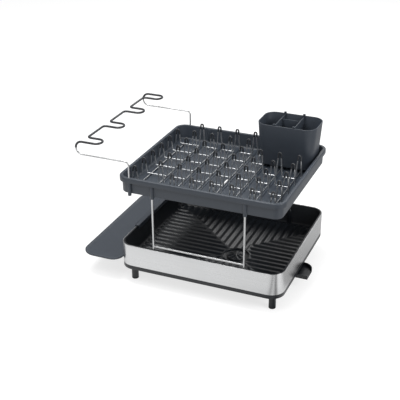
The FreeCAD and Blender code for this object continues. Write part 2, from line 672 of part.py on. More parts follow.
def make_upper_tray():
    """Lipped tray with floor ribs, a drain slot and sockets for the legs and the posts."""
    sizes = (UPPER_WIDTH, UPPER_DEPTH, UPPER_CORNER)
    foot_width = UPPER_WIDTH - 2 * UPPER_OUTER_INSET
    foot_depth = UPPER_DEPTH - 2 * UPPER_OUTER_INSET
    foot = outline(foot_width, foot_depth, UPPER_FOOT_CORNER, UPPER_BOTTOM)
    collar_width = UPPER_WIDTH - 2 * LIP_OVERHANG
    collar_depth = UPPER_DEPTH - 2 * LIP_OVERHANG
    collar = outline(collar_width, collar_depth, UPPER_CORNER - LIP_OVERHANG, LIP_ROOF)
    body = Part.makeLoft([foot, collar], True, True)
    lip = inset_slab(*sizes, 0, LIP_BOTTOM, UPPER_TOP)
    top_edges = [edge for edge in lip.Edges if abs(edge.BoundBox.ZMin - UPPER_TOP) < SAME_PLACE]
    lip = lip.makeFillet(LIP_FILLET, top_edges)
    groove = inset_slab(*sizes, LIP_WALL, LIP_BOTTOM, LIP_ROOF)
    groove = groove.cut(inset_slab(*sizes, LIP_OVERHANG, LIP_BOTTOM, LIP_ROOF))
    lip = lip.cut(groove)
    parts = [lip]
    for _, x, y in corner_places(LEG_X, LEG_Y):
        parts.append(upright(LEG_TUBE_RADIUS, TUBE_BOTTOM, LIP_ROOF, x, y))
    for y in (-POST_Y, POST_Y):
        parts.append(upright(POST_TUBE_RADIUS, TUBE_BOTTOM, LIP_ROOF, POST_X, y))
    tray = joined(body, parts)
    cavity_steps = (
        (UPPER_FLOOR_INSET, UPPER_FLOOR_TOP),
        (UPPER_INNER_INSET, UPPER_FLOOR_TOP + UPPER_COVE),
        (UPPER_RIM_WIDTH, UPPER_TOP),
    )
    tray = tray.cut(draw_in(*sizes, cavity_steps))
    ribs = []
    rib_end = UPPER_DEPTH / 2 - UPPER_FLOOR_INSET + UPPER_COVE / 2
    for index in range(FLOOR_RIB_COUNT):
        x = FLOOR_RIB_FIRST_X + index * FLOOR_RIB_PITCH
        reach = (x - FLOOR_RIB_WIDTH / 2, x + FLOOR_RIB_WIDTH / 2)
        levels = (UPPER_FLOOR_TOP - UPPER_FLOOR / 2, FLOOR_RIB_TOP)
        ribs.append(box(reach, (-rib_end, rib_end), levels))
    for _, x, y in corner_places(LEG_X, LEG_Y):
        ribs.append(upright(LEG_TUBE_RADIUS, UPPER_BOTTOM, LIP_ROOF, x, y))
    tray = joined(tray, ribs)
    slot = slab(
        DRAIN_SLOT_WIDTH, DRAIN_SLOT_LENGTH, DRAIN_SLOT_WIDTH / 2 - ARC_SLACK,
        UPPER_BOTTOM - CUT_MARGIN, UPPER_FLOOR_TOP + CUT_MARGIN, (DRAIN_SLOT_X, DRAIN_SLOT_Y),
    )
    cuts = [slot]
    for _, x, y in corner_places(LEG_X, LEG_Y):
        cuts.append(upright(LEG_RADIUS + SLIDE_GAP, TUBE_BOTTOM, LEG_TOP, x, y))
        face_y = math.copysign(UPPER_DEPTH / 2 - LIP_OVERHANG, y)
        depth = math.copysign(TUBE_RECESS_DEPTH + UPPER_DRAFT, y)
        limits = sorted((face_y - depth, face_y + depth))
        reach = (x + LEG_TUBE_RADIUS, x + LEG_TUBE_RADIUS + TUBE_RECESS_WIDTH)
        cuts.append(box(reach, limits, (UPPER_BOTTOM, LIP_BOTTOM)))
    for y in (-POST_Y, POST_Y):
        cuts.append(upright(STEM_RADIUS + SLIDE_GAP, POST_BOTTOM - REST_GAP, UPPER_TOP, POST_X, y))
    return tray.cut(cuts)


def loop_lean(rise):
    """The angle from the upright at which a loop's sides lean to its crown."""
    crown = rise - 2 * ROW_RADIUS - LOOP_CROWN
    return math.atan2(LOOP_FOOT, crown) - math.asin(LOOP_CROWN / math.hypot(LOOP_FOOT, crown))


def make_row_wire(y, loops, end):
    """One wire to X = end that rises in a loop at each (X, rise) and is level between them."""
    points = []
    bends = []
    for x, rise in loops:
        apex_z = ROW_Z + LOOP_FOOT / math.tan(loop_lean(rise))
        points += [point(x - LOOP_FOOT, y, ROW_Z), point(x, y, apex_z), point(x + LOOP_FOOT, y, ROW_Z)]
        bends += [LOOP_FOOT_BEND, LOOP_CROWN, LOOP_FOOT_BEND]
    if loops[0][0] > SHORT_LOOP_X:
        points.insert(0, point(FIRST_TIE_X - TIE_OVERHANG, y, ROW_Z))
    else:
        bends.pop(0)
    points.append(point(end, y, ROW_Z))
    return bent_rod(bent_path(points, bends), ROW_RADIUS)


def make_tip(rise):
    """The coated tip on the crown of a loop about X = 0."""
    lean = loop_lean(rise)
    apex_z = ROW_Z + LOOP_FOOT / math.tan(lean)
    low = LOOP_BOTTOM + rise - TIP_LENGTH
    low_x = (apex_z - low) * math.tan(lean)
    path = bent_path([point(-low_x, 0, low), point(0, 0, apex_z), point(low_x, 0, low)], [LOOP_CROWN])
    tip = bent_rod(path, ROW_RADIUS + TIP_SKIN)
    return tip.cut(bent_rod(path, ROW_RADIUS + SEAT_GAP))


def moved(shape, x, y, z=0.0):
    """A copy of a shape at another place."""
    return shape.translated(point(x, y, z))


def row_layout():
    """Each plate row from the back: its name, its Y, its loops as (X, rise) and its end.

    The row at the caddy's front edge ends at a tie wire beside the caddy, and the one
    behind it runs on under the caddy and carries it.
    """
    columns = [LOOP_FIRST_X + index * LOOP_PITCH for index in range(LOOP_COUNT)]
    caddy_left = CADDY_X - CADDY_WIDTH / 2 - LOOP_FOOT - ROW_RADIUS
    caddy_front = CADDY_Y - CADDY_DEPTH / 2 - ROW_RADIUS
    rows = []
    for index in range(ROW_COUNT):
        y = LAST_ROW_Y - index * ROW_PITCH
        loops = [(x, LOOP_HEIGHT) for x in columns if y < caddy_front or x < caddy_left]
        end = ROW_END_X
        if caddy_front <= y < CADDY_Y - CADDY_DEPTH / 4:
            end = loops[-1][0] + LOOP_PITCH - TIE_SETBACK + TIE_OVERHANG / 2
        rows.append((f"plate_row_{index + 1}", y, [(SHORT_LOOP_X, SHORT_LOOP_HEIGHT)] + loops, end))
    front = [(x, FRONT_LOOP_HEIGHT) for x in columns[FRONT_ROW_SKIPS:]]
    rows.append((f"plate_row_{ROW_COUNT + 1}", FRONT_ROW_Y, front, ROW_END_X))
    return rows


def make_plate_rows():
    """Every row's bent wire, and the coated tips of its loops."""
    tips = {rise: make_tip(rise) for rise in (LOOP_HEIGHT, FRONT_LOOP_HEIGHT, SHORT_LOOP_HEIGHT)}
    pieces = {}
    for name, y, loops, end in row_layout():
        pieces[name] = make_row_wire(y, loops, end)
        pieces[f"{name}_tips"] = Part.makeCompound([moved(tips[rise], x, y) for x, rise in loops])
    return pieces


def make_tie_wires():
    """Wires under the rows, one beside each column of loops."""
    columns = [FIRST_TIE_X]
    columns += [LOOP_FIRST_X + index * LOOP_PITCH - TIE_SETBACK for index in range(LOOP_COUNT)]
    front = FRONT_ROW_Y - TIE_OVERHANG / 2
    rear = LAST_ROW_Y + TIE_OVERHANG
    wires = [rod(point(x, front, TIE_Z), point(x, rear, TIE_Z), TIE_RADIUS) for x in columns]
    return Part.makeCompound(wires)


def caddy_form(inset, low, high):
    """The caddy's tapered form, drawn in by inset, between two heights."""
    span = CADDY_TOP - CADDY_BOTTOM
    steps = []
    for z in (low, high):
        steps.append((inset + CADDY_TAPER * (CADDY_TOP - z) / span, z))
    return draw_in(CADDY_WIDTH, CADDY_DEPTH, CADDY_CORNER, steps, (CADDY_X, CADDY_Y))


def make_caddy():
    """Tapered cup for cutlery with drain slots in its floor."""
    caddy = caddy_form(0, CADDY_BOTTOM, CADDY_TOP)
    caddy = caddy.cut(caddy_form(CADDY_WALL, CADDY_BOTTOM + CADDY_WALL, CADDY_TOP))
    pitch = (CADDY_WIDTH - 2 * CADDY_CORNER) / CADDY_SLOT_COUNT
    levels = (CADDY_BOTTOM - CUT_MARGIN, CADDY_BOTTOM + CADDY_WALL + CUT_MARGIN)
    end_radius = CADDY_SLOT_WIDTH / 2 - ARC_SLACK
    cuts = []
    for index in range(CADDY_SLOT_COUNT):
        x = CADDY_X + pitch * (index - (CADDY_SLOT_COUNT - 1) / 2)
        cuts.append(slab(CADDY_SLOT_WIDTH, CADDY_SLOT_LENGTH, end_radius, *levels, (x, CADDY_Y)))
    return caddy.cut(cuts)


def make_caddy_divider():
    """Two upright dividers and a cross piece that hang from the caddy's rim by hooks."""
    low = CADDY_TOP - DIVIDER_DEPTH
    high = CADDY_TOP - DIVIDER_DROP
    space = caddy_form(CADDY_WALL + NEST_GAP, low, CADDY_TOP)
    rim_y = CADDY_DEPTH / 2
    half = DIVIDER_WALL / 2
    walls = []
    centres = [DIVIDER_X + side * DIVIDER_SPREAD / 2 for side in (-1, 1)]
    for x in centres:
        wall = box((x - half, x + half), (CADDY_Y - rim_y, CADDY_Y + rim_y), (low, high))
        walls.append(wall.common(space))
    cross_y = (CROSS_DIVIDER_Y - half, CROSS_DIVIDER_Y + half)
    walls.append(box((centres[0], centres[1]), cross_y, (low, high - HOOK_RISE)).common(space))
    under = CADDY_TOP + REST_GAP
    for x in centres:
        for side in (-1, 1):
            inner_y = CADDY_Y + side * (rim_y - CADDY_WALL - NEST_GAP - DIVIDER_WALL)
            outer_y = CADDY_Y + side * (rim_y - CADDY_WALL / 4)
            drop_y = inner_y + side * DIVIDER_WALL
            reach = (x - HOOK_WIDTH / 2, x + HOOK_WIDTH / 2)
            root_y = sorted((inner_y - side * HOOK_ROOT, drop_y))
            walls.append(box(reach, sorted((inner_y, outer_y)), (under, under + HOOK_RISE)))
            stem = box(reach, root_y, (high - HOOK_TAIL, under + HOOK_RISE))
            inside = caddy_form(CADDY_WALL + NEST_GAP, high - HOOK_TAIL, CADDY_TOP)
            above = box(reach, root_y, (CADDY_TOP, under + HOOK_RISE))
            walls.append(stem.common(inside).fuse(above))
    return joined(walls[0], walls[1:])


def make_stemware_arm(y):
    """Post and arm of the stemware rack, up to the start of its coated wire."""
    points = [
        point(POST_X, y, POST_BOTTOM),
        point(POST_X, y, ARM_HEIGHT),
        point(TURN_X, y, ARM_HEIGHT),
        point(TURN_X, y, TURN_Z),
    ]
    return bent_rod(bent_path(points, (ARM_BEND, TURN_RADIUS)), STEM_RADIUS)


def make_stemware_rail():
    """Coated wire that winds in and out in fingers, each for one glass's stem."""
    z = SERPENTINE_Z
    points = [point(TURN_X, -POST_Y, TURN_Z), point(TURN_X, -POST_Y, z)]
    bends = [TURN_RADIUS]
    for index in range(FINGER_COUNT):
        middle = FINGER_PITCH * (index - (FINGER_COUNT - 1) / 2)
        near = middle - FINGER_HALF_WIDTH
        far = middle + FINGER_HALF_WIDTH
        if index > 0:
            points.append(point(RAIL_X, near, z))
            bends.append(FINGER_CORNER)
        points += [point(FINGER_TIP_X, near, z), point(FINGER_TIP_X, far, z)]
        bends += [FINGER_HALF_WIDTH] * 2
        if index < FINGER_COUNT - 1:
            points.append(point(RAIL_X, far, z))
            bends.append(FINGER_CORNER)
    points += [point(TURN_X, POST_Y, z), point(TURN_X, POST_Y, TURN_Z)]
    bends.append(TURN_RADIUS)
    return bent_rod(bent_path(points, bends), STEM_RADIUS + STEM_COAT)


def make_drip_tray():
    """Shallow side tray with a back wall and a hook over the lower tray's rim."""
    centre = ((DRIP_WALL_X - DRIP_REACH) / 2, 0.0)
    depth = 2 * DRIP_HALF_DEPTH
    top = DRIP_BOTTOM + DRIP_RIM
    floor = DRIP_BOTTOM + DRIP_FLOOR
    tray = slab(DRIP_WIDTH, depth, DRIP_INNER_CORNER, DRIP_BOTTOM, top, centre, DRIP_OUTER_CORNER)
    wires = []
    for inset, z in ((DRIP_COVE, floor), (DRIP_RIM_WIDTH, top)):
        inner = DRIP_INNER_CORNER - inset
        outer = DRIP_OUTER_CORNER - inset
        wires.append(outline(DRIP_WIDTH - 2 * inset, depth - 2 * inset, inner, z, centre, outer))
    tray = tray.cut(Part.makeLoft(wires, True, True))
    back_x = (DRIP_WALL_X - DRIP_BACK_WALL, DRIP_WALL_X)
    back = box(back_x, (-DRIP_BACK_HALF, DRIP_BACK_HALF), (DRIP_BOTTOM, DRIP_BACK_TOP))
    riser = box(back_x, (-DRIP_HOOK_HALF, DRIP_HOOK_HALF), (DRIP_BOTTOM, DRIP_HOOK_TOP))
    tail_x = RIM_INSET + RIM_WIDTH - BASE_WIDTH / 2 + REST_GAP + TRAY_WALL / 2
    hook_x = (DRIP_WALL_X - DRIP_BACK_WALL, tail_x + DRIP_HOOK_WALL)
    hook = box(hook_x, (-DRIP_HOOK_HALF, DRIP_HOOK_HALF), (DRIP_HOOK_TOP - DRIP_HOOK_WALL, DRIP_HOOK_TOP))
    tail_levels = (DRIP_HOOK_TOP - DRIP_HOOK_TAIL, DRIP_HOOK_TOP)
    tail = box((tail_x, tail_x + DRIP_HOOK_WALL), (-DRIP_HOOK_HALF, DRIP_HOOK_HALF), tail_levels)
    return joined(tray, [back, riser, hook, tail])


def make_pieces():
    """Every piece of the rack by name, about the middle of the base."""
    pieces = {
        "base_frame": make_base_frame(),
        "steel_band": make_steel_band(),
        "lower_tray": make_lower_tray(),
        "drain_strainer": make_drain_strainer(),
        "swivel_spout": make_swivel_spout(),
        "spout_clip": make_spout_clip(),
        "front_leg_frame": make_leg_frame(-LEG_Y),
        "rear_leg_frame": make_leg_frame(LEG_Y),
        "upper_tray": make_upper_tray(),
        "plate_tie_wires": make_tie_wires(),
        "cutlery_caddy": make_caddy(),
        "caddy_divider": make_caddy_divider(),
        "stemware_arm_front": make_stemware_arm(-POST_Y),
        "stemware_arm_rear": make_stemware_arm(POST_Y),
        "stemware_rail": make_stemware_rail(),
        "drip_tray": make_drip_tray(),
    }
    pieces.update(make_plate_rows())
    for place, x, y in corner_places(FOOT_X, FOOT_Y):
        pieces[f"foot_{place}"] = make_foot(x, y)
        pieces[f"foot_pad_{place}"] = make_foot_pad(x, y)
    return pieces


def main():
    """Write one file for each piece."""
    os.makedirs("parts", exist_ok=True)
    for name, shape in make_pieces().items():
        placed = moved(shape, ORIGIN_SHIFT, 0)
        print(f"{name}: {len(placed.Solids)} solids, valid {placed.isValid()}")
        placed.exportStep(f"parts/{name}.step")


main()
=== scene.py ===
"""Looks of the two-tier dish rack: finishes, wire work and moulded shells over the fixed frame.

The frame is in metres, with +X right, +Y back, +Z up, and stands on Z = 0. The forms are
given in millimetres about the middle of the base.
"""

import json
import logging
import math
from collections.abc import Iterable, Sequence
from dataclasses import dataclass, field
from enum import Enum
from typing import ClassVar

import bmesh
import bpy
from mathutils import Matrix, Vector


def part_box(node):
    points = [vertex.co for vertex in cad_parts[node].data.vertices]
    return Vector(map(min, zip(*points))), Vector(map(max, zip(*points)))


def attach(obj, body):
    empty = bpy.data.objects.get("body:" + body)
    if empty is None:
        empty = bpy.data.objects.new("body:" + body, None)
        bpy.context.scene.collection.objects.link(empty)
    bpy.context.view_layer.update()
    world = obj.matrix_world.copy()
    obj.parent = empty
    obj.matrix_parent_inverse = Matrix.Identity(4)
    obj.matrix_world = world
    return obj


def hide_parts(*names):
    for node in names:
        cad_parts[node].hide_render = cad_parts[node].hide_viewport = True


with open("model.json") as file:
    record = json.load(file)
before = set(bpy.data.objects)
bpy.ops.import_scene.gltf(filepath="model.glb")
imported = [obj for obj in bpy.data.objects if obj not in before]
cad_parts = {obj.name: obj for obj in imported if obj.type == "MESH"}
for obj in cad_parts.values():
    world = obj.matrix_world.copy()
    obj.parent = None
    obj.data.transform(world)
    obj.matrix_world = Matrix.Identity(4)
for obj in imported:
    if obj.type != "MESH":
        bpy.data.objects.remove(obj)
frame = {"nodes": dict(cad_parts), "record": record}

LOG = logging.getLogger("dish_rack")
MM = 0.001
WELD = 0.002
NODE_WELD = 0.00001
SHARP = math.radians(38)
FLAT = math.radians(1.0)
BEVEL_STEPS = 2
CURVE_STEPS = 5
WIRE_STEPS = 3
WIRE_END_ROUNDING = 0.25
WIRE_END_ANGLE = math.radians(60)
QUARTERS = [(side_x, side_y) for side_x in (-1, 1) for side_y in (-1, 1)]

Color = tuple[float, float, float]
Span = Sequence[float]
Pairs = Sequence[tuple[float, float]]
Element = bmesh.types.BMVert | bmesh.types.BMEdge | bmesh.types.BMFace


class Body(Enum):
    """The moving bodies that pieces ride on."""

    BASE = "base"
    SPOUT = "spout"
    STRAINER = "strainer"
    DRIP_TRAY = "drip_tray"
    UPPER_TIER = "upper_tier"
    PLATE_RACK = "plate_rack"
    CADDY = "caddy"
    DIVIDER = "divider"
    STEMWARE_RACK = "stemware_rack"


class Slot(Enum):
    """The record's material slots."""

    BLACK_PLASTIC = "black_plastic"
    SLATE_PLASTIC = "slate_plastic"
    BRUSHED_BAND = "brushed_band"
    LEG_WIRE = "leg_wire"
    RACK_WIRE = "rack_wire"
    BLACK_COATING = "black_coating"
    PAD_RUBBER = "pad_rubber"


class Term:
    """A shader socket on which arithmetic adds Math nodes."""

    def __init__(self, graph: "Graph", socket: bpy.types.NodeSocket) -> None:
        """Wraps one output socket of a graph."""
        self.graph = graph
        self.socket = socket

    def __add__(self, other: "Term | float") -> "Term":
        """Adds."""
        return self.graph.compute("ADD", self, other)

    def __mul__(self, other: "Term | float") -> "Term":
        """Multiplies."""
        return self.graph.compute("MULTIPLY", self, other)

    def __sub__(self, other: "Term | float") -> "Term":
        """Subtracts."""
        return self.graph.compute("SUBTRACT", self, other)

    def __rsub__(self, other: "Term | float") -> "Term":
        """Subtracts from a number."""
        return self.graph.compute("SUBTRACT", other, self)


Value = Term | float | Sequence[float]


@dataclass(frozen=True)
class Noise:
    """A noise pattern: features per metre, octaves and extra scale along the axes."""

    scale: float
    detail: float = 2.0
    stretch: tuple[float, float, float] = (1.0, 1.0, 1.0)


class Graph:
    """One material's node tree around a Principled shader."""

    NOISE_ROUGHNESS = 0.55

    def __init__(self, name: str) -> None:
        """Starts an empty material of this name."""
        self.material = bpy.data.materials.new(name)
        self.material.use_nodes = True
        self.tree = self.material.node_tree
        self.tree.nodes.clear()
        output = self.add("ShaderNodeOutputMaterial")
        self.shader = self.add("ShaderNodeBsdfPrincipled")
        self.tree.links.new(self.shader.outputs[0], output.inputs["Surface"])

    def add(
        self,
        kind: str,
        settings: dict[str, object] | None = None,
        inputs: dict[str | int, Value] | None = None,
    ) -> bpy.types.Node:
        """Adds a node, sets it up and fills its inputs.

        Args:
            kind: The node's type.
            settings: Attributes of the node.
            inputs: Values or terms for its sockets, by name or number.

        Returns:
            The new node.
        """
        node = self.tree.nodes.new(kind)
        for name, value in (settings or {}).items():
            setattr(node, name, value)
        for key, value in (inputs or {}).items():
            self.feed(node.inputs[key], value)
        return node

    def feed(self, socket: bpy.types.NodeSocket, value: Value) -> None:
        """Links a term to a socket, or sets the socket's own value."""
        if isinstance(value, Term):
            self.tree.links.new(value.socket, socket)
        else:
            socket.default_value = value

    def set(self, **values: Value) -> None:
        """Fills the shader's sockets, named with underscores for spaces."""
        for name, value in values.items():
            words = name.replace("_", " ")
            socket = self.shader.inputs.get(words) or self.shader.inputs[words.title()]
            self.feed(socket, value)

    def compute(self, operation: str, first: Value, second: Value) -> Term:
        """Adds one Math node.

        Args:
            operation: The node's operation.
            first: The first operand.
            second: The second operand.

        Returns:
            The node's result.
        """
        node = self.add("ShaderNodeMath", {"operation": operation}, {0: first, 1: second})
        return Term(self, node.outputs[0])

    def coordinates(self, stretch: Sequence[float] = (1.0, 1.0, 1.0)) -> Term:
        """Object coordinates, stretched along the axes."""
        source = self.add("ShaderNodeTexCoord")
        placed = self.add("ShaderNodeMapping", None, {"Scale": stretch})
        self.tree.links.new(source.outputs["Object"], placed.inputs["Vector"])
        return Term(self, placed.outputs[0])

    def noise(self, noise: Noise) -> Term:
        """A noise pattern on object coordinates, with values around 0.5."""
        inputs = {
            "Vector": self.coordinates(noise.stretch),
            "Scale": noise.scale,
            "Detail": noise.detail,
            "Roughness": self.NOISE_ROUGHNESS,
        }
        return Term(self, self.add("ShaderNodeTexNoise", None, inputs).outputs[0])

    def ramp(self, factor: Term, stops: Pairs) -> Term:
        """Maps a factor through a linear ramp of (place, grey level) stops."""
        node = self.add("ShaderNodeValToRGB", None, {"Fac": factor})
        elements = node.color_ramp.elements
        for index, (place, level) in enumerate(stops):
            element = elements[index] if index < len(elements) else elements.new(place)
            element.position = place
            element.color = (level, level, level, 1.0)
        return Term(self, node.outputs[0])

    def patches(self, noise: Noise, low: float, high: float) -> Term:
        """Soft patches: a noise pattern spread from 0 to 1 between two of its levels."""
        return self.ramp(self.noise(noise), ((low, 0.0), (high, 1.0)))

    def blend(self, factor: Term, low: Color, high: Color) -> Term:
        """Mixes two colours."""
        colors = {0: factor, 6: (*low, 1.0), 7: (*high, 1.0)}
        return Term(self, self.add("ShaderNodeMix", {"data_type": "RGBA"}, colors).outputs[2])

    def bump(self, height: Term, depth: float, strength: float) -> None:
        """Feeds a height map to the shader's normal.

        Args:
            height: The height, from 0 to 1.
            depth: The height of 1, in metres.
            strength: The bump's strength.
        """
        inputs = {"Height": height, "Distance": depth, "Strength": strength}
        node = self.add("ShaderNodeBump", None, inputs)
        self.tree.links.new(node.outputs[0], self.shader.inputs["Normal"])


@dataclass(frozen=True)
class Finish:
    """The finish of one slot, which drifts between two colours."""

    slot: Slot
    color: Color
    drift: Color
    roughness: float

    def build(self) -> bpy.types.Material:
        """Builds the material."""
        graph = Graph(self.slot.value)
        self.shade(graph)
        return graph.material

    def shade(self, graph: Graph) -> None:
        """Sets up the material's shader, which each kind of finish does in its own way."""
        raise NotImplementedError


class MouldedPlastic(Finish):
    """Injection-moulded plastic with a fine spark-eroded grain."""

    CLOUDS = Noise(9.0, 4.0)
    GRAIN = Noise(2600.0, 1.0)
    WEAR = Noise(34.0, 3.0)
    WEAR_SWING = 0.12
    GRAIN_DEPTH = 0.00006

    def shade(self, graph: Graph) -> None:
        """Sets up the shader."""
        clouds = graph.patches(self.CLOUDS, low=0.3, high=0.75)
        grain = graph.noise(self.GRAIN)
        lowest = self.roughness - self.WEAR_SWING / 2
        graph.set(
            Base_Color=graph.blend(clouds, self.color, self.drift),
            Roughness=graph.noise(self.WEAR) * self.WEAR_SWING + lowest,
            Specular_IOR_Level=0.5,
        )
        graph.bump(grain, self.GRAIN_DEPTH, strength=0.6)


class BrushedSteel(Finish):
    """Steel sheet brushed level, so that its lines differ mainly with height."""

    LINES = Noise(6.0, 3.0, (1.0, 1.0, 420.0))
    STREAKS = Noise(5.0, 2.0, (1.6, 1.6, 60.0))
    SMEARS = Noise(14.0, 3.0)
    LINE_SWING = 0.10
    SMEAR_SWING = 0.04
    ROUGHNESS_DROP = 0.06
    LINE_DEPTH = 0.00003

    def shade(self, graph: Graph) -> None:
        """Sets up the shader."""
        lines = graph.noise(self.LINES)
        streaks = graph.noise(self.STREAKS)
        smears = graph.patches(self.SMEARS, low=0.35, high=0.8)
        uneven = lines * self.LINE_SWING + smears * self.SMEAR_SWING
        graph.set(
            Metallic=1.0,
            Base_Color=graph.blend(lines * 0.5 + streaks * 0.5, self.drift, self.color),
            Roughness=uneven + (self.roughness - self.ROUGHNESS_DROP),
            Anisotropic=0.7,
            Anisotropic_Rotation=0.25,
        )
        graph.bump(lines, self.LINE_DEPTH, strength=0.35)


class DrawnWire(Finish):
    """Drawn and polished wire with faint draw marks and duller stretches."""

    MARKS = Noise(220.0, 3.0)
    DULLNESS = Noise(24.0, 2.0)
    DULLED = 0.82
    MARK_SWING = 0.06
    DULL_SWING = 0.05
    MARK_DEPTH = 0.00001

    @classmethod
    def of(cls, slot: Slot, color: Color, roughness: float) -> "DrawnWire":
        """The wire of one slot, whose duller stretches follow from its colour."""
        return cls(slot, color, tuple(channel * cls.DULLED for channel in color), roughness)

    def shade(self, graph: Graph) -> None:
        """Sets up the shader."""
        marks = graph.noise(self.MARKS)
        dull = graph.patches(self.DULLNESS, low=0.35, high=0.8)
        uneven = marks * self.MARK_SWING + dull * self.DULL_SWING
        graph.set(
            Metallic=1.0,
            Base_Color=graph.blend(dull, self.color, self.drift),
            Roughness=uneven + (self.roughness - self.MARK_SWING / 2),
        )
        graph.bump(marks, self.MARK_DEPTH, strength=0.15)


class SoftCoating(Finish):
    """Dipped or moulded rubber with a satin skin."""

    RIPPLE = Noise(160.0, 2.0)
    DUST = Noise(30.0, 3.0)
    RIPPLE_SWING = 0.15
    ROUGHNESS_DROP = 0.07
    RIPPLE_DEPTH = 0.00008

    def shade(self, graph: Graph) -> None:
        """Sets up the shader."""
        ripple = graph.noise(self.RIPPLE)
        dust = graph.patches(self.DUST, low=0.4, high=0.8)
        lowest = self.roughness - self.ROUGHNESS_DROP
        graph.set(
            Base_Color=graph.blend(dust, self.color, self.drift),
            Roughness=ripple * self.RIPPLE_SWING + lowest,
        )
        graph.bump(ripple, self.RIPPLE_DEPTH, strength=0.5)


class Finishes:
    """Every finish of the rack, built once and found by the record's slot."""

    RECIPES: ClassVar[Sequence[Finish]] = (
        MouldedPlastic(
            Slot.BLACK_PLASTIC, (0.0075, 0.0095, 0.0125), (0.0110, 0.0135, 0.0170), 0.34
        ),
        MouldedPlastic(Slot.SLATE_PLASTIC, (0.038, 0.047, 0.061), (0.046, 0.056, 0.072), 0.44),
        BrushedSteel(Slot.BRUSHED_BAND, (0.63, 0.635, 0.64), (0.52, 0.525, 0.53), 0.28),
        DrawnWire.of(Slot.LEG_WIRE, (0.54, 0.545, 0.55), 0.30),
        DrawnWire.of(Slot.RACK_WIRE, (0.60, 0.61, 0.62), 0.40),
        SoftCoating(Slot.BLACK_COATING, (0.028, 0.030, 0.034), (0.040, 0.043, 0.048), 0.28),
        SoftCoating(Slot.PAD_RUBBER, (0.010, 0.010, 0.010), (0.018, 0.018, 0.018), 0.7),
    )

    def __init__(self) -> None:
        """Builds the materials."""
        self.materials = {recipe.slot: recipe.build() for recipe in self.RECIPES}

    def dress(self, piece: bpy.types.Object, slot: Slot) -> None:
        """Gives a piece one finish on all its faces."""
        piece.data.materials.clear()
        piece.data.materials.append(self.materials[slot])


FINISHES = Finishes()
BASE_MIDDLE = sum(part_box("base_frame"), Vector()) / 2
ORIGIN = Vector((BASE_MIDDLE.x, BASE_MIDDLE.y, 0.0))


@dataclass(frozen=True)
class Extent:
    """A CAD node's box, in millimetres about the middle of the base."""

    low: Vector
    high: Vector

    @classmethod
    def of(cls, node: str) -> "Extent":
        """The box of one node."""
        low, high = ((corner - ORIGIN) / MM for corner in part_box(node))
        return cls(low, high)

    @property
    def size(self) -> Vector:
        """The box's width, depth and height."""
        return self.high - self.low

    @property
    def middle(self) -> Vector:
        """The box's middle."""
        return (self.high + self.low) / 2


@dataclass(frozen=True)
class Plan:
    """A rounded rectangle seen from above, in millimetres about the middle of the base."""

    width: float
    depth: float
    corner: float
    x: float = 0.0
    y: float = 0.0
    left_corner: float | None = None

    @classmethod
    def around(cls, extent: Extent, corner: float) -> "Plan":
        """The outline of a box, with its corners rounded."""
        return cls(extent.size.x, extent.size.y, corner, extent.middle.x, extent.middle.y)

    def inset(self, by: float) -> "Plan":
        """The same outline drawn in on all sides."""
        left = None if self.left_corner is None else self.left_corner - by
        width, depth = self.width - 2 * by, self.depth - 2 * by
        return Plan(width, depth, self.corner - by, self.x, self.y, left)


@dataclass(frozen=True)
class Ring:
    """One level line round a moulded form, and how far its edge is rounded."""

    plan: Plan
    z: float
    rounding: float = 0.0


class Closing(Enum):
    """How the first and the last ring of a form are closed."""

    CAPS = "caps"
    JOINED = "joined"


@dataclass(frozen=True)
class Bend:
    """A corner of a wire's route and the radius that it is bent to."""

    place: Vector
    radius: float = 0.0

    @classmethod
    def at(cls, x: float, y: float, z: float, radius: float = 0.0) -> "Bend":
        """The bend at one place."""
        return cls(Vector((x, y, z)), radius)


@dataclass(frozen=True)
class Tag:
    """A piece's name, its body, its finish and the CAD nodes that it stands for."""

    name: str
    body: Body
    slot: Slot
    replaces: Sequence[str] = ()


def about(middle: float, half: float) -> Span:
    """The two limits of a span about its middle."""
    return middle - half, middle + half


def unique(elements: Iterable[Element]) -> list[Element]:
    """The elements once each, in the order in which they come."""
    return list(dict.fromkeys(elements))


def shifted(profile: Pairs, out: float, up: float) -> list[tuple[float, float]]:
    """The points of a profile, moved outwards and upwards."""
    return [(out + radius, up + height) for radius, height in profile]


def place_piece(mesh: bpy.types.Mesh, tag: Tag) -> bpy.types.Object:
    """Links a mesh as a smooth piece that rides on its body, and dresses it.

    Args:
        mesh: The mesh, in metres in the frame.
        tag: What the piece is.

    Returns:
        The piece.
    """
    mesh.shade_smooth()
    mesh.set_sharp_from_angle(angle=SHARP)
    piece = bpy.data.objects.new(tag.name, mesh)
    bpy.context.scene.collection.objects.link(piece)
    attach(piece, tag.body.value)
    if tag.replaces:
        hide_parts(*tag.replaces)
    FINISHES.dress(piece, tag.slot)
    LOG.info("%s: %d faces, rides on %s", tag.name, len(mesh.polygons), tag.body.value)
    return piece


def round_edges(
    piece: bpy.types.Object, name: str, width: float, angle: float
) -> bpy.types.BevelModifier:
    """Adds a modifier that rounds a piece's edges.

    Args:
        piece: The piece.
        name: The modifier's name.
        width: The rounding, in millimetres.
        angle: The angle between two faces from which their edge is rounded.

    Returns:
        The modifier.
    """
    rounding = piece.modifiers.new(name, "BEVEL")
    rounding.width = width * MM
    rounding.segments = BEVEL_STEPS
    rounding.limit_method = "ANGLE"
    rounding.angle_limit = angle
    return rounding


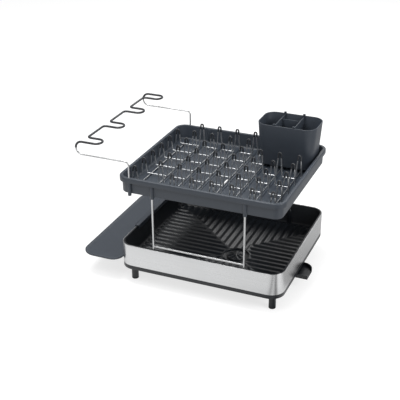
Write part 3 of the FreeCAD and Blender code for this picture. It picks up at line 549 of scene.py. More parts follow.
def soften(tag: Tag, edge: float) -> None:
    """Rounds the edges of a copy of the CAD node that a piece stands for.

    Args:
        tag: What the piece is.
        edge: The rounding, in millimetres.
    """
    bm = bmesh.new()
    bm.from_mesh(frame["nodes"][tag.replaces[0]].data)
    bmesh.ops.remove_doubles(bm, verts=bm.verts, dist=NODE_WELD)
    bmesh.ops.dissolve_limit(bm, angle_limit=FLAT, verts=bm.verts, edges=bm.edges)
    mesh = bpy.data.meshes.new(tag.name)
    bm.to_mesh(mesh)
    bm.free()
    rounding = round_edges(place_piece(mesh, tag), "rounding", edge, SHARP)
    rounding.harden_normals = True


class Shaper:
    """A mesh in the making, in millimetres about the middle of the base."""

    CORNER_STEPS = 14
    EDGE_STEPS = 3
    SLOT_STEPS = 4
    TURN_STEPS = 64
    POST_SIDES = 32
    POST_EDGE = 0.4
    # How much of a bar's thinnest side its rounding may take.
    LARGEST_EDGE = 0.45
    # Heights that differ by less than this are one height.
    LEVEL = 0.01
    # An edge that rises by more than this is an upright.
    UPRIGHT = 0.5
    # Rings are bridged this far apart, because level ones would be joined with twists.
    STACK = 400.0

    def __init__(self) -> None:
        """Starts an empty mesh."""
        self.bm = bmesh.new()

    def _loop(self, plan: Plan, z: float) -> list[bmesh.types.BMEdge]:
        """Adds an outline as a loop of edges at one height."""
        known = set(self.bm.edges)
        made = bmesh.ops.create_grid(self.bm, x_segments=1, y_segments=1, size=1.0)["verts"]
        bmesh.ops.scale(self.bm, vec=(plan.width / 2, plan.depth / 2, 1.0), verts=made)
        bmesh.ops.translate(self.bm, vec=(plan.x, plan.y, z), verts=made)
        right = [vert for vert in made if vert.co.x > plan.x]
        left = [vert for vert in made if vert.co.x < plan.x]
        left_corner = plan.corner if plan.left_corner is None else plan.left_corner
        for verts, radius in ((right, plan.corner), (left, left_corner)):
            self._bevel(verts, radius, self.CORNER_STEPS, "VERTICES")
        edges = [edge for edge in self.bm.edges if edge not in known]
        faces = unique(face for edge in edges for face in edge.link_faces)
        bmesh.ops.delete(self.bm, geom=faces, context="FACES_ONLY")
        return edges

    def _bevel(
        self, geom: list[Element], offset: float, steps: int, affect: str = "EDGES"
    ) -> None:
        """Rounds edges or corners.

        Args:
            geom: The edges or vertices.
            offset: How far the rounding reaches.
            steps: Its segments.
            affect: EDGES or VERTICES.
        """
        bmesh.ops.bevel(
            self.bm, geom=geom, offset=offset, segments=steps, profile=0.5,
            affect=affect, clamp_overlap=False, material=-1,
        )

    def moulding(self, rings: Sequence[Ring], closing: Closing = Closing.CAPS) -> "Shaper":
        """Adds a form whose outline changes from ring to ring.

        Args:
            rings: The rings in order, from the outer foot to the inner floor.
            closing: Whether its ends are capped, or joined to each other.

        Returns:
            This shaper.
        """
        loops = [self._loop(ring.plan, index * self.STACK) for index, ring in enumerate(rings)]
        for first, second in zip(loops, loops[1:]):
            bmesh.ops.bridge_loops(self.bm, edges=first + second)
        if closing is Closing.JOINED:
            bmesh.ops.bridge_loops(self.bm, edges=loops[-1] + loops[0])
        else:
            for loop in (loops[0], loops[-1]):
                bmesh.ops.edgeloop_fill(self.bm, edges=loop)
        for index, (ring, loop) in enumerate(zip(rings, loops)):
            verts = unique(vert for edge in loop for vert in edge.verts)
            rise = ring.z - index * self.STACK
            bmesh.ops.translate(self.bm, vec=(0, 0, rise), verts=verts)
        for ring, loop in zip(rings, loops):
            if ring.rounding:
                self._bevel(loop, ring.rounding, self.EDGE_STEPS)
        return self.face_outward()

    def face_outward(self) -> "Shaper":
        """Turns every face of a closed form outwards."""
        bmesh.ops.recalc_face_normals(self.bm, faces=self.bm.faces)
        if self.bm.calc_volume(signed=True) < 0:
            bmesh.ops.reverse_faces(self.bm, faces=self.bm.faces)
        return self

    def block(
        self, x: Span, y: Span, z: Span, edge: float = 0.5, draw_in: Span = (0, 0)
    ) -> "Shaper":
        """Adds a bar with rounded edges.

        Args:
            x: Its limits along X.
            y: Its limits along Y.
            z: Its limits along Z.
            edge: The rounding of its edges.
            draw_in: How much narrower each side of its foot is, along X and Y.

        Returns:
            This shaper.
        """
        low = Vector((min(x), min(y), min(z)))
        high = Vector((max(x), max(y), max(z)))
        size, middle = high - low, (low + high) / 2
        made = bmesh.ops.create_cube(self.bm, size=1.0)["verts"]
        bmesh.ops.scale(self.bm, vec=size, verts=made)
        bmesh.ops.translate(self.bm, vec=middle, verts=made)
        foot = [vert for vert in made if vert.co.z < middle.z]
        shrink = (1 - 2 * draw_in[0] / size.x, 1 - 2 * draw_in[1] / size.y, 1.0)
        bmesh.ops.scale(self.bm, vec=shrink, space=Matrix.Translation(-middle), verts=foot)
        self._bevel(self._edges(made), min(edge, min(size) * self.LARGEST_EDGE), BEVEL_STEPS)
        return self

    def post(self, radius: float, z: Span, x: float, y: float) -> "Shaper":
        """Adds an upright round post with rounded rims.

        Args:
            radius: Its radius.
            z: The heights of its foot and its top.
            x: Its axis along X.
            y: Its axis along Y.

        Returns:
            This shaper.
        """
        made = bmesh.ops.create_cone(
            self.bm, cap_ends=True, segments=self.POST_SIDES, radius1=radius, radius2=radius,
            depth=z[1] - z[0],
        )["verts"]
        bmesh.ops.translate(self.bm, vec=(x, y, (z[0] + z[1]) / 2), verts=made)
        rims = [edge for edge in self._edges(made) if self._rise(edge) < self.LEVEL]
        self._bevel(rims, self.POST_EDGE, BEVEL_STEPS)
        return self

    def turned(self, profile: Pairs, x: float, y: float, closed: bool = False) -> "Shaper":
        """Adds a form spun about an upright axis.

        Args:
            profile: (radius, height) pairs, from the axis or in a closed round.
            x: The axis along X.
            y: The axis along Y.
            closed: Whether the profile's last point joins its first.

        Returns:
            This shaper.
        """
        verts = [self.bm.verts.new((x + radius, y, z)) for radius, z in profile]
        pairs = list(zip(verts, verts[1:])) + ([(verts[-1], verts[0])] if closed else [])
        edges = [self.bm.edges.new(pair) for pair in pairs]
        bmesh.ops.spin(
            self.bm, geom=verts + edges, cent=(x, y, 0), axis=(0, 0, 1), angle=math.tau,
            steps=self.TURN_STEPS, use_merge=True,
        )
        bmesh.ops.remove_doubles(self.bm, verts=self.bm.verts, dist=WELD)
        loose = [edge for edge in self.bm.edges if edge.is_wire]
        bmesh.ops.delete(self.bm, geom=loose, context="EDGES")
        return self.face_outward()

    def pierce(self, plan: Plan, low: float, high: float) -> "Shaper":
        """Cuts a slot through the level walls at two heights, and lines it.

        Args:
            plan: The slot's outline.
            low: The height of the lower face.
            high: The height of the upper face.

        Returns:
            This shaper.
        """
        centre = Vector((plan.x, plan.y, 0))
        rims = []
        for level in (low, high):
            for normal in ((1, 0, 0), (-1, 0, 0), (0, 1, 0), (0, -1, 0)):
                reach = (plan.width if normal[0] else plan.depth) / 2
                faces = [face for face in self.bm.faces if self._spans(face, plan, level)]
                geom = faces + unique(edge for face in faces for edge in face.edges)
                geom += unique(vert for face in faces for vert in face.verts)
                place = centre + Vector(normal) * reach
                bmesh.ops.bisect_plane(self.bm, geom=geom, plane_co=place, plane_no=normal)
            hole = [face for face in self.bm.faces if self._spans(face, plan, level)]
            rims += [edge for face in hole for edge in face.edges]
            bmesh.ops.delete(self.bm, geom=hole, context="FACES_ONLY")
        lining = bmesh.ops.bridge_loops(self.bm, edges=rims)["faces"]
        sides = unique(edge for face in lining for edge in face.edges)
        uprights = [edge for edge in sides if self._rise(edge) > self.UPRIGHT]
        self._bevel(uprights, plan.corner, self.SLOT_STEPS)
        return self

    @classmethod
    def _spans(cls, face: bmesh.types.BMFace, plan: Plan, level: float) -> bool:
        """Whether a level face at this height takes in the outline's middle."""
        if any(abs(vert.co.z - level) > cls.LEVEL for vert in face.verts):
            return False
        xs = [vert.co.x for vert in face.verts]
        ys = [vert.co.y for vert in face.verts]
        return min(xs) < plan.x < max(xs) and min(ys) < plan.y < max(ys)

    @staticmethod
    def _edges(verts: Iterable[bmesh.types.BMVert]) -> list[bmesh.types.BMEdge]:
        """The edges that end at these vertices."""
        return unique(edge for vert in verts for edge in vert.link_edges)

    @staticmethod
    def _rise(edge: bmesh.types.BMEdge) -> float:
        """How far apart in height an edge's ends are."""
        return abs(edge.verts[0].co.z - edge.verts[1].co.z)

    def finish(self, tag: Tag) -> None:
        """Places the mesh in the frame as the piece that the tag names."""
        bmesh.ops.scale(self.bm, vec=(MM, MM, MM), verts=self.bm.verts)
        bmesh.ops.translate(self.bm, vec=ORIGIN, verts=self.bm.verts)
        mesh = bpy.data.meshes.new(tag.name)
        self.bm.to_mesh(mesh)
        self.bm.free()
        place_piece(mesh, tag)


def bent_wires(tag: Tag, routes: Sequence[Sequence[Bend]], radius: float) -> None:
    """Makes round wires that run straight from bend to bend.

    Args:
        tag: What the piece is.
        routes: Each wire's corners.
        radius: The wire's radius.
    """
    curve = bpy.data.curves.new(tag.name, "CURVE")
    curve.dimensions = "3D"
    curve.resolution_u = CURVE_STEPS
    curve.bevel_depth = radius * MM
    curve.bevel_resolution = WIRE_STEPS
    curve.use_fill_caps = True
    for route in routes:
        knots = wire_knots(route)
        spline = curve.splines.new("BEZIER")
        spline.bezier_points.add(len(knots) - 1)
        for point, knot in zip(spline.bezier_points, knots):
            point.handle_left_type = point.handle_right_type = "FREE"
            places = [ORIGIN + place * MM for place in knot]
            point.handle_left, point.co, point.handle_right = places
    drawn = bpy.data.objects.new(f"{tag.name}_route", curve)
    mesh = bpy.data.meshes.new_from_object(drawn)
    mesh.name = tag.name
    bpy.data.objects.remove(drawn)
    bpy.data.curves.remove(curve)
    bm = bmesh.new()
    bm.from_mesh(mesh)
    bmesh.ops.remove_doubles(bm, verts=bm.verts, dist=WELD * MM)
    bmesh.ops.recalc_face_normals(bm, faces=bm.faces)
    bm.to_mesh(mesh)
    bm.free()
    piece = place_piece(mesh, tag)
    round_edges(piece, "rounded_ends", radius * WIRE_END_ROUNDING, WIRE_END_ANGLE)


def wire_knots(route: Sequence[Bend]) -> list[tuple[Vector, Vector, Vector]]:
    """Knots of a curve that runs straight and turns in round arcs.

    Args:
        route: The wire's corners and their radii.

    Returns:
        For each knot, its handle before, its place and its handle after.
    """
    start, end = route[0].place, route[-1].place
    knots = [(start, start, start)]
    for before, bend, after in zip(route, route[1:], route[2:]):
        arriving = (bend.place - before.place).normalized()
        leaving = (after.place - bend.place).normalized()
        turn = arriving.angle(leaving)
        setback = bend.radius * math.tan(turn / 2)
        reach = bend.radius * math.tan(turn / 4) * 4 / 3
        first = bend.place - arriving * setback
        last = bend.place + leaving * setback
        knots.append((first, first, first + arriving * reach))
        knots.append((last - leaving * reach, last, last))
    knots.append((end, end, end))
    return knots


@dataclass
class BaseFrame:
    """The black skirt under the band, with its ledge, pads and feet."""

    corner: float = 33.7
    wall: float = 3.0
    ledge_top: float = 45.0
    ledge_width: float = 18.0
    pad_inset: float = 12.0
    pad_reach: float = 50.0
    pad_sink: float = 0.1
    foot_radius: float = 8.5
    foot_profile: Pairs = ((-0.6, 0.0), (0.0, 0.6))
    head_profile: Pairs = ((0.0, -5.5), (0.35, -3.3), (1.1, -1.375), (2.5, -0.7), (2.5, -0.05))
    rubber_profile: Pairs = ((-1.6, 0.0), (-0.5, 0.4), (0.0, 1.2), (0.0, 2.7), (-0.3, 3.0))

    def build(self) -> None:
        """Makes the skirt and the four feet."""
        self._skirt()
        for place in ("front_left", "front_right", "rear_left", "rear_right"):
            self._foot(place)

    def _skirt(self) -> None:
        """The skirt's ring with the ledge inside it and a pad in each corner."""
        box = Extent.of("base_frame")
        low, high = box.low.z, box.high.z
        plan = Plan.around(box, self.corner)
        inner, ledge = plan.inset(self.wall), plan.inset(self.ledge_width)
        rings = [
            Ring(plan, low, rounding=0.8),
            Ring(plan, high, rounding=0.5),
            Ring(inner, high, rounding=0.5),
            Ring(inner, self.ledge_top),
            Ring(ledge, self.ledge_top, rounding=0.5),
            Ring(ledge, low, rounding=0.5),
        ]
        shape = Shaper().moulding(rings, Closing.JOINED)
        z = (low + self.pad_sink, self.ledge_top - self.pad_sink)
        for side_x, side_y in QUARTERS:
            x = [side_x * (plan.width / 2 - end) for end in (self.pad_reach, self.pad_inset)]
            y = [side_y * (plan.depth / 2 - end) for end in (self.pad_reach, self.pad_inset)]
            shape.block(x, y, z, edge=0.8)
        shape.finish(Tag("base_skirt", Body.BASE, Slot.BLACK_PLASTIC, ["base_frame"]))

    def _foot(self, place: str) -> None:
        """One turned foot and its rubber pad."""
        box = Extent.of(f"foot_{place}")
        low, top = box.low.z, Extent.of("base_frame").low.z
        shank = shifted(self.foot_profile, self.foot_radius, low)
        head = shifted(self.head_profile, self.foot_radius, top)
        foot = [(0, low), *shank, *head, (0, head[-1][1])]
        side = shifted(self.rubber_profile, self.foot_radius, 0)
        rubber = [(0, 0), *side, (0, side[-1][1])]
        pieces = (
            (foot, Tag(f"turned_foot_{place}", Body.BASE, Slot.BLACK_PLASTIC, [f"foot_{place}"])),
            (rubber, Tag(f"rubber_pad_{place}", Body.BASE, Slot.PAD_RUBBER, [f"foot_pad_{place}"])),
        )
        for profile, tag in pieces:
            Shaper().turned(profile, box.middle.x, box.middle.y).finish(tag)


@dataclass
class SteelBand:
    """The brushed ring round the lower tray."""

    corner: float = 33.7
    wall: float = 1.2
    edge: float = 0.35

    def build(self) -> None:
        """Makes the ring."""
        box = Extent.of("steel_band")
        outer = Plan.around(box, self.corner)
        inner = outer.inset(self.wall)
        rings = [
            Ring(outer, box.low.z),
            Ring(outer, box.high.z, self.edge),
            Ring(inner, box.high.z, self.edge),
            Ring(inner, box.low.z),
        ]
        tag = Tag("brushed_band", Body.BASE, Slot.BRUSHED_BAND, ["steel_band"])
        Shaper().moulding(rings, Closing.JOINED).finish(tag)


@dataclass
class LowerTray:
    """The drafted tray in the band, with its corrugated floor and its drain."""

    corner: float = 33.7
    rim_inset: float = 1.4
    rim_width: float = 3.6
    rim_band: float = 10.0
    draft: float = 5.6
    wall: float = 3.0
    cove: float = 5.5
    cove_drop: float = 0.2
    underside: float = 45.0
    floor: float = 48.0
    floor_overlap: float = 3.5
    floor_foot: float = 45.3
    floor_cells: tuple[int, int] = (216, 190)
    rib_height: float = 2.8
    side_pitch: float = 18.3
    end_pitch: float = 17.7
    side_through: float = -43.2
    end_through: float = 50.9
    hip_half_width: float = 8.0
    hip_bend_x: float = 60.5
    hip_side_rib: int = 4
    hip_overrun: float = 10.0
    drain: tuple[float, float] = (43.5, -38.0)
    drain_foot: float = 45.2
    basin_radius: float = 32.0
    basin_floor: float = 46.5
    basin_rim: Pairs = ((2.5, -0.3), (1.2, 0.0), (0.4, -0.4), (0.0, -1.2))
    basin_cove: Pairs = ((-0.3, 0.9), (-1.2, 0.2), (-2.4, 0.0))
    ring_width: float = 2.5
    ring_slope: float = 3.0
    hole_margin: float = 1.4
    hole_catch: float = 5.0
    outlet_bore: float = 11.0
    outlet_edge: float = 0.8
    outlet_radius: float = 14.0
    outlet_end: float = 31.8
    leg_x: float = 113.6
    socket_y: tuple[float, float] = (171.0, 180.4)
    socket_z: tuple[float, float] = (50.6, 87.5)
    socket_half: float = 6.0

    def build(self) -> None:
        """Makes the walls, the floor, the drain and the legs' sockets."""
        band = Extent.of("steel_band")
        self.plan = Plan(band.size.x, band.size.y, self.corner)
        self.top = Extent.of("lower_tray").high.z
        self.outer_foot = self.rim_inset + self.draft
        self.inner_wall = self.outer_foot + self.wall
        self.cove_foot = self.inner_wall + self.cove
        self.hips = self._hip_lines()
        self._walls()
        self._floor()
        self._drain()
        self._sockets()

    def _walls(self) -> None:
        """The walls with their rim and the cove that leads to the floor."""
        foot = self.plan.inset(self.cove_foot)
        rings = [
            Ring(self.plan.inset(self.outer_foot), self.underside, rounding=1.5),
            Ring(self.plan.inset(self.rim_inset), self.top - self.rim_band),
            Ring(self.plan.inset(self.rim_inset), self.top, rounding=0.7),
            Ring(self.plan.inset(self.rim_inset + self.rim_width), self.top, rounding=1.0),
            Ring(self.plan.inset(self.inner_wall), self.floor + self.cove, rounding=2.2),
            Ring(foot, self.floor - self.cove_drop),
            Ring(foot, self.underside),
        ]
        tag = Tag("tray_walls", Body.BASE, Slot.BLACK_PLASTIC, ["lower_tray"])
        Shaper().moulding(rings, Closing.JOINED).finish(tag)

    def _hip_lines(self) -> dict[tuple[int, int], list[Vector]]:
        """The lines from the drain to the floor's corners, between the rib fields."""
        reach = self.plan.inset(self.cove_foot)
        drain = Vector(self.drain)
        lines = {
            (side_x, side_y): [drain, Vector((side_x * reach.width / 2, side_y * reach.depth / 2))]
            for side_x, side_y in QUARTERS
        }
        slope = self.side_pitch / self.end_pitch
        turn_x = self.end_through + self.end_pitch
        turn_y = self.side_through + self.hip_side_rib * self.side_pitch
        ends = [
            Vector((x, turn_y + slope * (x - turn_x)))
            for x in (self.hip_bend_x, reach.width / 2 + self.hip_overrun)
        ]
        lines[1, 1] = [Vector((self.hip_bend_x, drain.y)), *ends]
        return lines

    def _level(self, place: Vector) -> float:
        """The height of the floor at a place in plan.

        Args:
            place: The place, in millimetres about the base's middle.

        Returns:
            The height, in millimetres.
        """
        hip = min(self._distance(place, line[0], line[1]) for line in self.hips.values())
        if self._in_end_field(place):
            phase = (place.x - self.end_through) / self.end_pitch
        else:
            phase = (place.y - self.side_through) / self.side_pitch
        rib = self._wave(math.tau * phase)
        ridge = self._wave(math.pi * min(hip / self.hip_half_width, 1.0))
        beyond = (place - Vector(self.drain)).length - self.basin_radius - self.ring_width
        ring = 1.0 - min(max(beyond / self.ring_slope, 0.0), 1.0)
        return self.floor + self.rib_height * max(rib, ridge, ring)

    @staticmethod
    def _wave(turn: float) -> float:
        """A cosine wave between 0 and 1, with its crest at 0."""
        return 0.5 + 0.5 * math.cos(turn)

    def _in_end_field(self, place: Vector) -> bool:
        """Whether the ribs run along Y at a place."""
        side_x = 1 if place.x > self.drain[0] else -1
        side_y = 1 if place.y > self.drain[1] else -1
        line = self.hips[side_x, side_y]
        for start, end in zip(line, line[1:]):
            span = end.x - start.x
            share = (place.x - start.x) / span if span else math.inf
            if 0 <= share <= 1:
                hip_y = start.y + share * (end.y - start.y)
                return (place.y - hip_y) * side_y > 0
        return (place.x - line[0].x) * side_x < 0

    @staticmethod
    def _distance(place: Vector, start: Vector, end: Vector) -> float:
        """How far a place in plan is from a straight line between two others."""
        run = end - start
        share = min(max((place - start).dot(run) / run.length_squared, 0.0), 1.0)
        return (place - start - run * share).length

    def _floor(self) -> None:
        """The floor: a fine grid raised in rounded ribs, ridges and the drain's ring."""
        plan = self.plan.inset(self.cove_foot - self.floor_overlap)
        shape = Shaper()
        bm = shape.bm
        columns, rows = self.floor_cells
        bmesh.ops.create_grid(bm, x_segments=columns, y_segments=rows, size=1.0)
        bmesh.ops.scale(bm, vec=(plan.width / 2, plan.depth / 2, 1.0), verts=bm.verts)
        drain = Vector(self.drain)
        hole = self.basin_radius + self.hole_margin
        inside = [vert for vert in bm.verts if (vert.co.xy - drain).length < hole]
        bmesh.ops.delete(bm, geom=inside, context="VERTS")
        for vert in bm.verts:
            offset = vert.co.xy - drain
            if vert.is_boundary and offset.length < hole + self.hole_catch:
                vert.co.xy = drain + offset.normalized() * hole
            self._round_corner(vert, plan)
            vert.co.z = self._level(vert.co.xy)
        rims = [edge for edge in bm.edges if edge.is_boundary]
        for item in bmesh.ops.extrude_edge_only(bm, edges=rims)["geom"]:
            if isinstance(item, bmesh.types.BMVert):
                item.co.z = self.floor_foot
        foot = [edge for edge in bm.edges if edge.is_boundary]
        bmesh.ops.triangle_fill(bm, edges=foot, normal=(0, 0, -1), use_beauty=True)
        shape.face_outward().finish(Tag("ribbed_floor", Body.BASE, Slot.BLACK_PLASTIC))

    @staticmethod
    def _round_corner(vert: bmesh.types.BMVert, plan: Plan) -> None:
        """Draws a vertex beyond a rounded corner onto that corner."""
        middle = Vector((
            math.copysign(plan.width / 2 - plan.corner, vert.co.x),
            math.copysign(plan.depth / 2 - plan.corner, vert.co.y),
        ))
        offset = vert.co.xy - middle
        outward = offset.x * middle.x > 0 and offset.y * middle.y > 0
        if outward and offset.length > plan.corner:
            vert.co.xy = middle + offset.normalized() * plan.corner

    def _drain(self) -> None:
        """The drain's basin and the tube that leads down from it."""
        rim = shifted(self.basin_rim, self.basin_radius, self.floor + self.rib_height)
        profile = [
            (rim[0][0], self.drain_foot),
            *rim,
            *shifted(self.basin_cove, self.basin_radius, self.basin_floor),
            (self.outlet_bore + self.outlet_edge, self.basin_floor),
            (self.outlet_bore, self.basin_floor - self.outlet_edge),
            (self.outlet_bore, self.outlet_end),
            (self.outlet_radius, self.outlet_end),
            (self.outlet_radius, self.drain_foot),
        ]
        shape = Shaper().turned(profile, *self.drain, closed=True)
        shape.finish(Tag("drain_basin", Body.BASE, Slot.BLACK_PLASTIC))

    def _sockets(self) -> None:
        """The four pillars that the legs are pushed into."""
        shape = Shaper()
        for side_x, side_y in QUARTERS:
            x = about(side_x * self.leg_x, self.socket_half)
            shape.block(x, [side_y * y for y in self.socket_y], self.socket_z, edge=1.2)
        shape.finish(Tag("leg_sockets", Body.BASE, Slot.BLACK_PLASTIC))


@dataclass
class Drain:
    """The strainer in the basin, and the spout and its clip under the tray."""

    dome_radius: float = 22.5
    dome_steps: int = 9
    rim_profile: Pairs = ((-0.5, 0.0), (0.0, 0.6))
    rim_height: float = 1.6
    collar_radius: float = 10.6
    collar_wall: float = 2.0
    collar_drop: float = 6.0
    vault_drops: tuple[float, float] = (3.0, 4.0)
    eye_radius: float = 5.0
    groove_count: int = 8
    groove_depth: float = 2.2
    groove_margin: float = 1.5
    groove_power: float = 0.5
    spout_edge: float = 0.7
    clip_edge: float = 0.3

    def build(self) -> None:
        """Makes the strainer, and softens the spout's and clip's edges."""
        self._strainer()
        spout = Tag("spout_channel", Body.SPOUT, Slot.BLACK_PLASTIC, ["swivel_spout"])
        soften(spout, self.spout_edge)
        soften(Tag("snap_ring", Body.BASE, Slot.BLACK_PLASTIC, ["spout_clip"]), self.clip_edge)

    def _strainer(self) -> None:
        """A dome with radial grooves round a raised eye, on a short collar."""
        box = Extent.of("drain_strainer")
        low, high, bore = box.low.z, box.high.z, self.collar_radius - self.collar_wall
        shoulder = low + self.collar_drop
        rim = shoulder + self.rim_height
        profile = [(bore, low), (self.collar_radius, low), (self.collar_radius, shoulder)]
        profile += shifted(self.rim_profile, self.dome_radius, shoulder)
        for step in range(self.dome_steps + 1):
            turn = math.pi / 2 * step / self.dome_steps
            height = rim + (high - rim) * math.sin(turn)
            profile.append((self.dome_radius * math.cos(turn), height))
        profile += [(0, high - self.vault_drops[0]), (bore, high - self.vault_drops[1])]
        shape = Shaper().turned(profile, box.middle.x, box.middle.y, closed=True)
        span = self.dome_radius - self.groove_margin - self.eye_radius
        for vert in shape.bm.verts:
            offset = vert.co.xy - box.middle.xy
            share = (offset.length - self.eye_radius) / span
            if vert.co.z > rim and 0 < share < 1:
                fluting = 0.5 + 0.5 * math.cos(self.groove_count * math.atan2(offset.y, offset.x))
                depth = math.sin(math.pi * share) ** self.groove_power
                vert.co.z -= self.groove_depth * fluting * depth
        tag = Tag("domed_strainer", Body.STRAINER, Slot.BLACK_PLASTIC, ["drain_strainer"])
        shape.finish(tag)


@dataclass
class LegFrames:
    """The upright wires that carry the upper tray, and their cross wires."""

    radius: float = 2.5
    leg_x: float = 113.6
    cross_z: float = 113.0

    def build(self) -> None:
        """Makes the front and the rear frame."""
        sides = (-self.leg_x, self.leg_x)
        for end in ("front", "rear"):
            box = Extent.of(f"{end}_leg_frame")
            y = box.middle.y
            routes = [[Bend.at(x, y, z) for z in (box.low.z, box.high.z)] for x in sides]
            routes.append([Bend.at(x, y, self.cross_z) for x in sides])
            tag = Tag(f"{end}_legs", Body.BASE, Slot.LEG_WIRE, [f"{end}_leg_frame"])
            bent_wires(tag, routes, self.radius)


@dataclass
class UpperTray:
    """The lipped tray on the legs, with its ribs, its slot and its wires' sockets."""

    corner: float = 27.0
    lip_height: float = 12.5
    lip_wall: float = 2.2
    overhang: float = 5.5
    draft: float = 1.0
    body_bottom: float = 242.0
    rim_width: float = 8.0
    inner_wall: float = 9.0
    cove: float = 3.5
    floor: float = 244.5
    rib_first: float = -170.0
    rib_pitch: float = 48.0
    rib_count: int = 7
    rib_width: float = 8.5
    rib_foot: float = 242.1
    rib_top: float = 246.8
    slot: Plan = Plan(7.0, 36.0, 3.2, 14.0, -37.5)
    leg_place: tuple[float, float] = (113.6, 176.0)
    leg_tube: float = 4.75
    post_place: tuple[float, float] = (-170.0, 178.0)
    post_tube: float = 4.2

    def build(self) -> None:
        """Makes the tray, its floor ribs and its sockets."""
        box = Extent.of("upper_tray")
        plan = Plan.around(box, self.corner)
        self._tray(plan, box.high.z)
        self._ribs(plan)
        self._tubes(box)

    def _tray(self, plan: Plan, top: float) -> None:
        """The body under its hollow lip, with the slot in its floor."""
        roof = top - self.lip_wall
        lip_bottom = top - self.lip_height
        shape = Shaper().moulding([
            Ring(plan.inset(self.overhang + self.draft), self.body_bottom, rounding=1.4),
            Ring(plan.inset(self.overhang), roof),
            Ring(plan.inset(self.lip_wall), roof),
            Ring(plan.inset(self.lip_wall), lip_bottom, rounding=0.3),
            Ring(plan, lip_bottom, rounding=0.5),
            Ring(plan, top, rounding=3.0),
            Ring(plan.inset(self.rim_width), top, rounding=1.2),
            Ring(plan.inset(self.inner_wall), self.floor + self.cove, rounding=1.6),
            Ring(plan.inset(self.inner_wall + self.cove), self.floor, rounding=1.2),
        ])
        shape.pierce(self.slot, self.body_bottom, self.floor)
        shape.finish(Tag("lipped_tray", Body.UPPER_TIER, Slot.SLATE_PLASTIC, ["upper_tray"]))

    def _ribs(self, plan: Plan) -> None:
        """The broad low ribs across the floor."""
        y = about(0, plan.depth / 2 - self.inner_wall - self.cove / 2)
        shape = Shaper()
        for index in range(self.rib_count):
            x = about(self.rib_first + index * self.rib_pitch, self.rib_width / 2)
            shape.block(x, y, (self.rib_foot, self.rib_top), edge=2.1)
        shape.finish(Tag("floor_ribs", Body.UPPER_TIER, Slot.SLATE_PLASTIC))

    def _tubes(self, box: Extent) -> None:
        """The sockets of the legs and of the stemware rack's posts."""
        shape = Shaper()
        z = (box.low.z, box.high.z - self.lip_wall)
        for side_y in (-1, 1):
            for side_x in (-1, 1):
                x, y = side_x * self.leg_place[0], side_y * self.leg_place[1]
                shape.post(self.leg_tube, z, x, y)
            shape.post(self.post_tube, z, self.post_place[0], side_y * self.post_place[1])
        shape.finish(Tag("wire_sockets", Body.UPPER_TIER, Slot.SLATE_PLASTIC))


@dataclass
class PlateRack:
    """The rows of bent wire that part the plates, their tips and the wires under them."""

    row_radius: float = 1.6
    tie_radius: float = 1.2
    row_z: float = 251.1
    tie_z: float = 248.3
    row_count: int = 6
    last_row_y: float = 125.0
    row_pitch: float = 50.0
    front_row_y: float = -167.0
    row_end: float = 186.0
    short_row: int = 2
    short_row_end: float = 69.9
    loop_first: float = -114.0
    loop_pitch: float = 48.1
    loop_count: int = 7
    short_loop_x: float = -182.0
    loop_rise: float = 64.5
    front_rise: float = 56.5
    short_rise: float = 40.5
    foot: float = 7.5
    foot_bend: float = 3.0
    crown: float = 3.2
    tie_first: float = -167.0
    tie_overhang: float = 4.0
    tip_length: float = 15.0
    tip_skin: float = 0.4
    caddy_rows: int = 2
    caddy_loops: int = 4

    def build(self) -> None:
        """Makes every row, its tips and the tie wires."""
        columns = [self.loop_first + index * self.loop_pitch for index in range(self.loop_count)]
        for index in range(self.row_count):
            kept = columns[: self.caddy_loops] if index < self.caddy_rows else columns
            loops = [(self.short_loop_x, self.short_rise)] + [(x, self.loop_rise) for x in kept]
            self._row(index + 1, self.last_row_y - index * self.row_pitch, loops)
        front = [(x, self.front_rise) for x in columns[1:]]
        self._row(self.row_count + 1, self.front_row_y, front)
        self._ties(columns)

    def _lean(self, rise: float) -> float:
        """The angle from the upright at which a loop's sides lean."""
        height = rise - 2 * self.row_radius - self.crown
        return math.atan2(self.foot, height) - math.asin(self.crown / math.hypot(self.foot, height))

    def _row(self, number: int, y: float, loops: Pairs) -> None:
        """One wire with its loops, and the coated tips of the loops.

        Args:
            number: The row's number from the back.
            y: Its place along Y.
            loops: (X, rise) of each loop.
        """
        route, tips = [], []
        for x, rise in loops:
            lean = self._lean(rise)
            apex = Bend.at(x, y, self.row_z + self.foot / math.tan(lean), self.crown)
            feet = [Bend.at(foot, y, self.row_z, self.foot_bend) for foot in about(x, self.foot)]
            route += [feet[0], apex, feet[1]]
            low = Vector((x, y, self.row_z - self.row_radius + rise - self.tip_length))
            spread = Vector(((apex.place.z - low.z) * math.tan(lean), 0, 0))
            tips.append([Bend(low - spread), apex, Bend(low + spread)])
        if loops[0][0] > self.short_loop_x:
            route.insert(0, Bend.at(self.tie_first - self.tie_overhang, y, self.row_z))
        end_x = self.short_row_end if number == self.short_row else self.row_end
        route.append(Bend.at(end_x, y, self.row_z))
        node = f"plate_row_{number}"
        wire = Tag(f"looped_wire_{number}", Body.PLATE_RACK, Slot.RACK_WIRE, [node])
        bent_wires(wire, [route], self.row_radius)
        sleeves = Tag(
            f"dipped_tips_{number}", Body.PLATE_RACK, Slot.BLACK_COATING, [f"{node}_tips"]
        )
        bent_wires(sleeves, tips, self.row_radius + self.tip_skin)

    def _ties(self, columns: Sequence[float]) -> None:
        """The straight wires under the rows, one beside each column of loops."""
        setback = self.foot + self.foot_bend
        ends = (self.front_row_y - self.tie_overhang / 2, self.last_row_y + self.tie_overhang)
        places = [self.tie_first] + [column - setback for column in columns]
        routes = [[Bend.at(x, y, self.tie_z) for y in ends] for x in places]
        tag = Tag("tie_wires", Body.PLATE_RACK, Slot.RACK_WIRE, ["plate_tie_wires"])
        bent_wires(tag, routes, self.tie_radius)


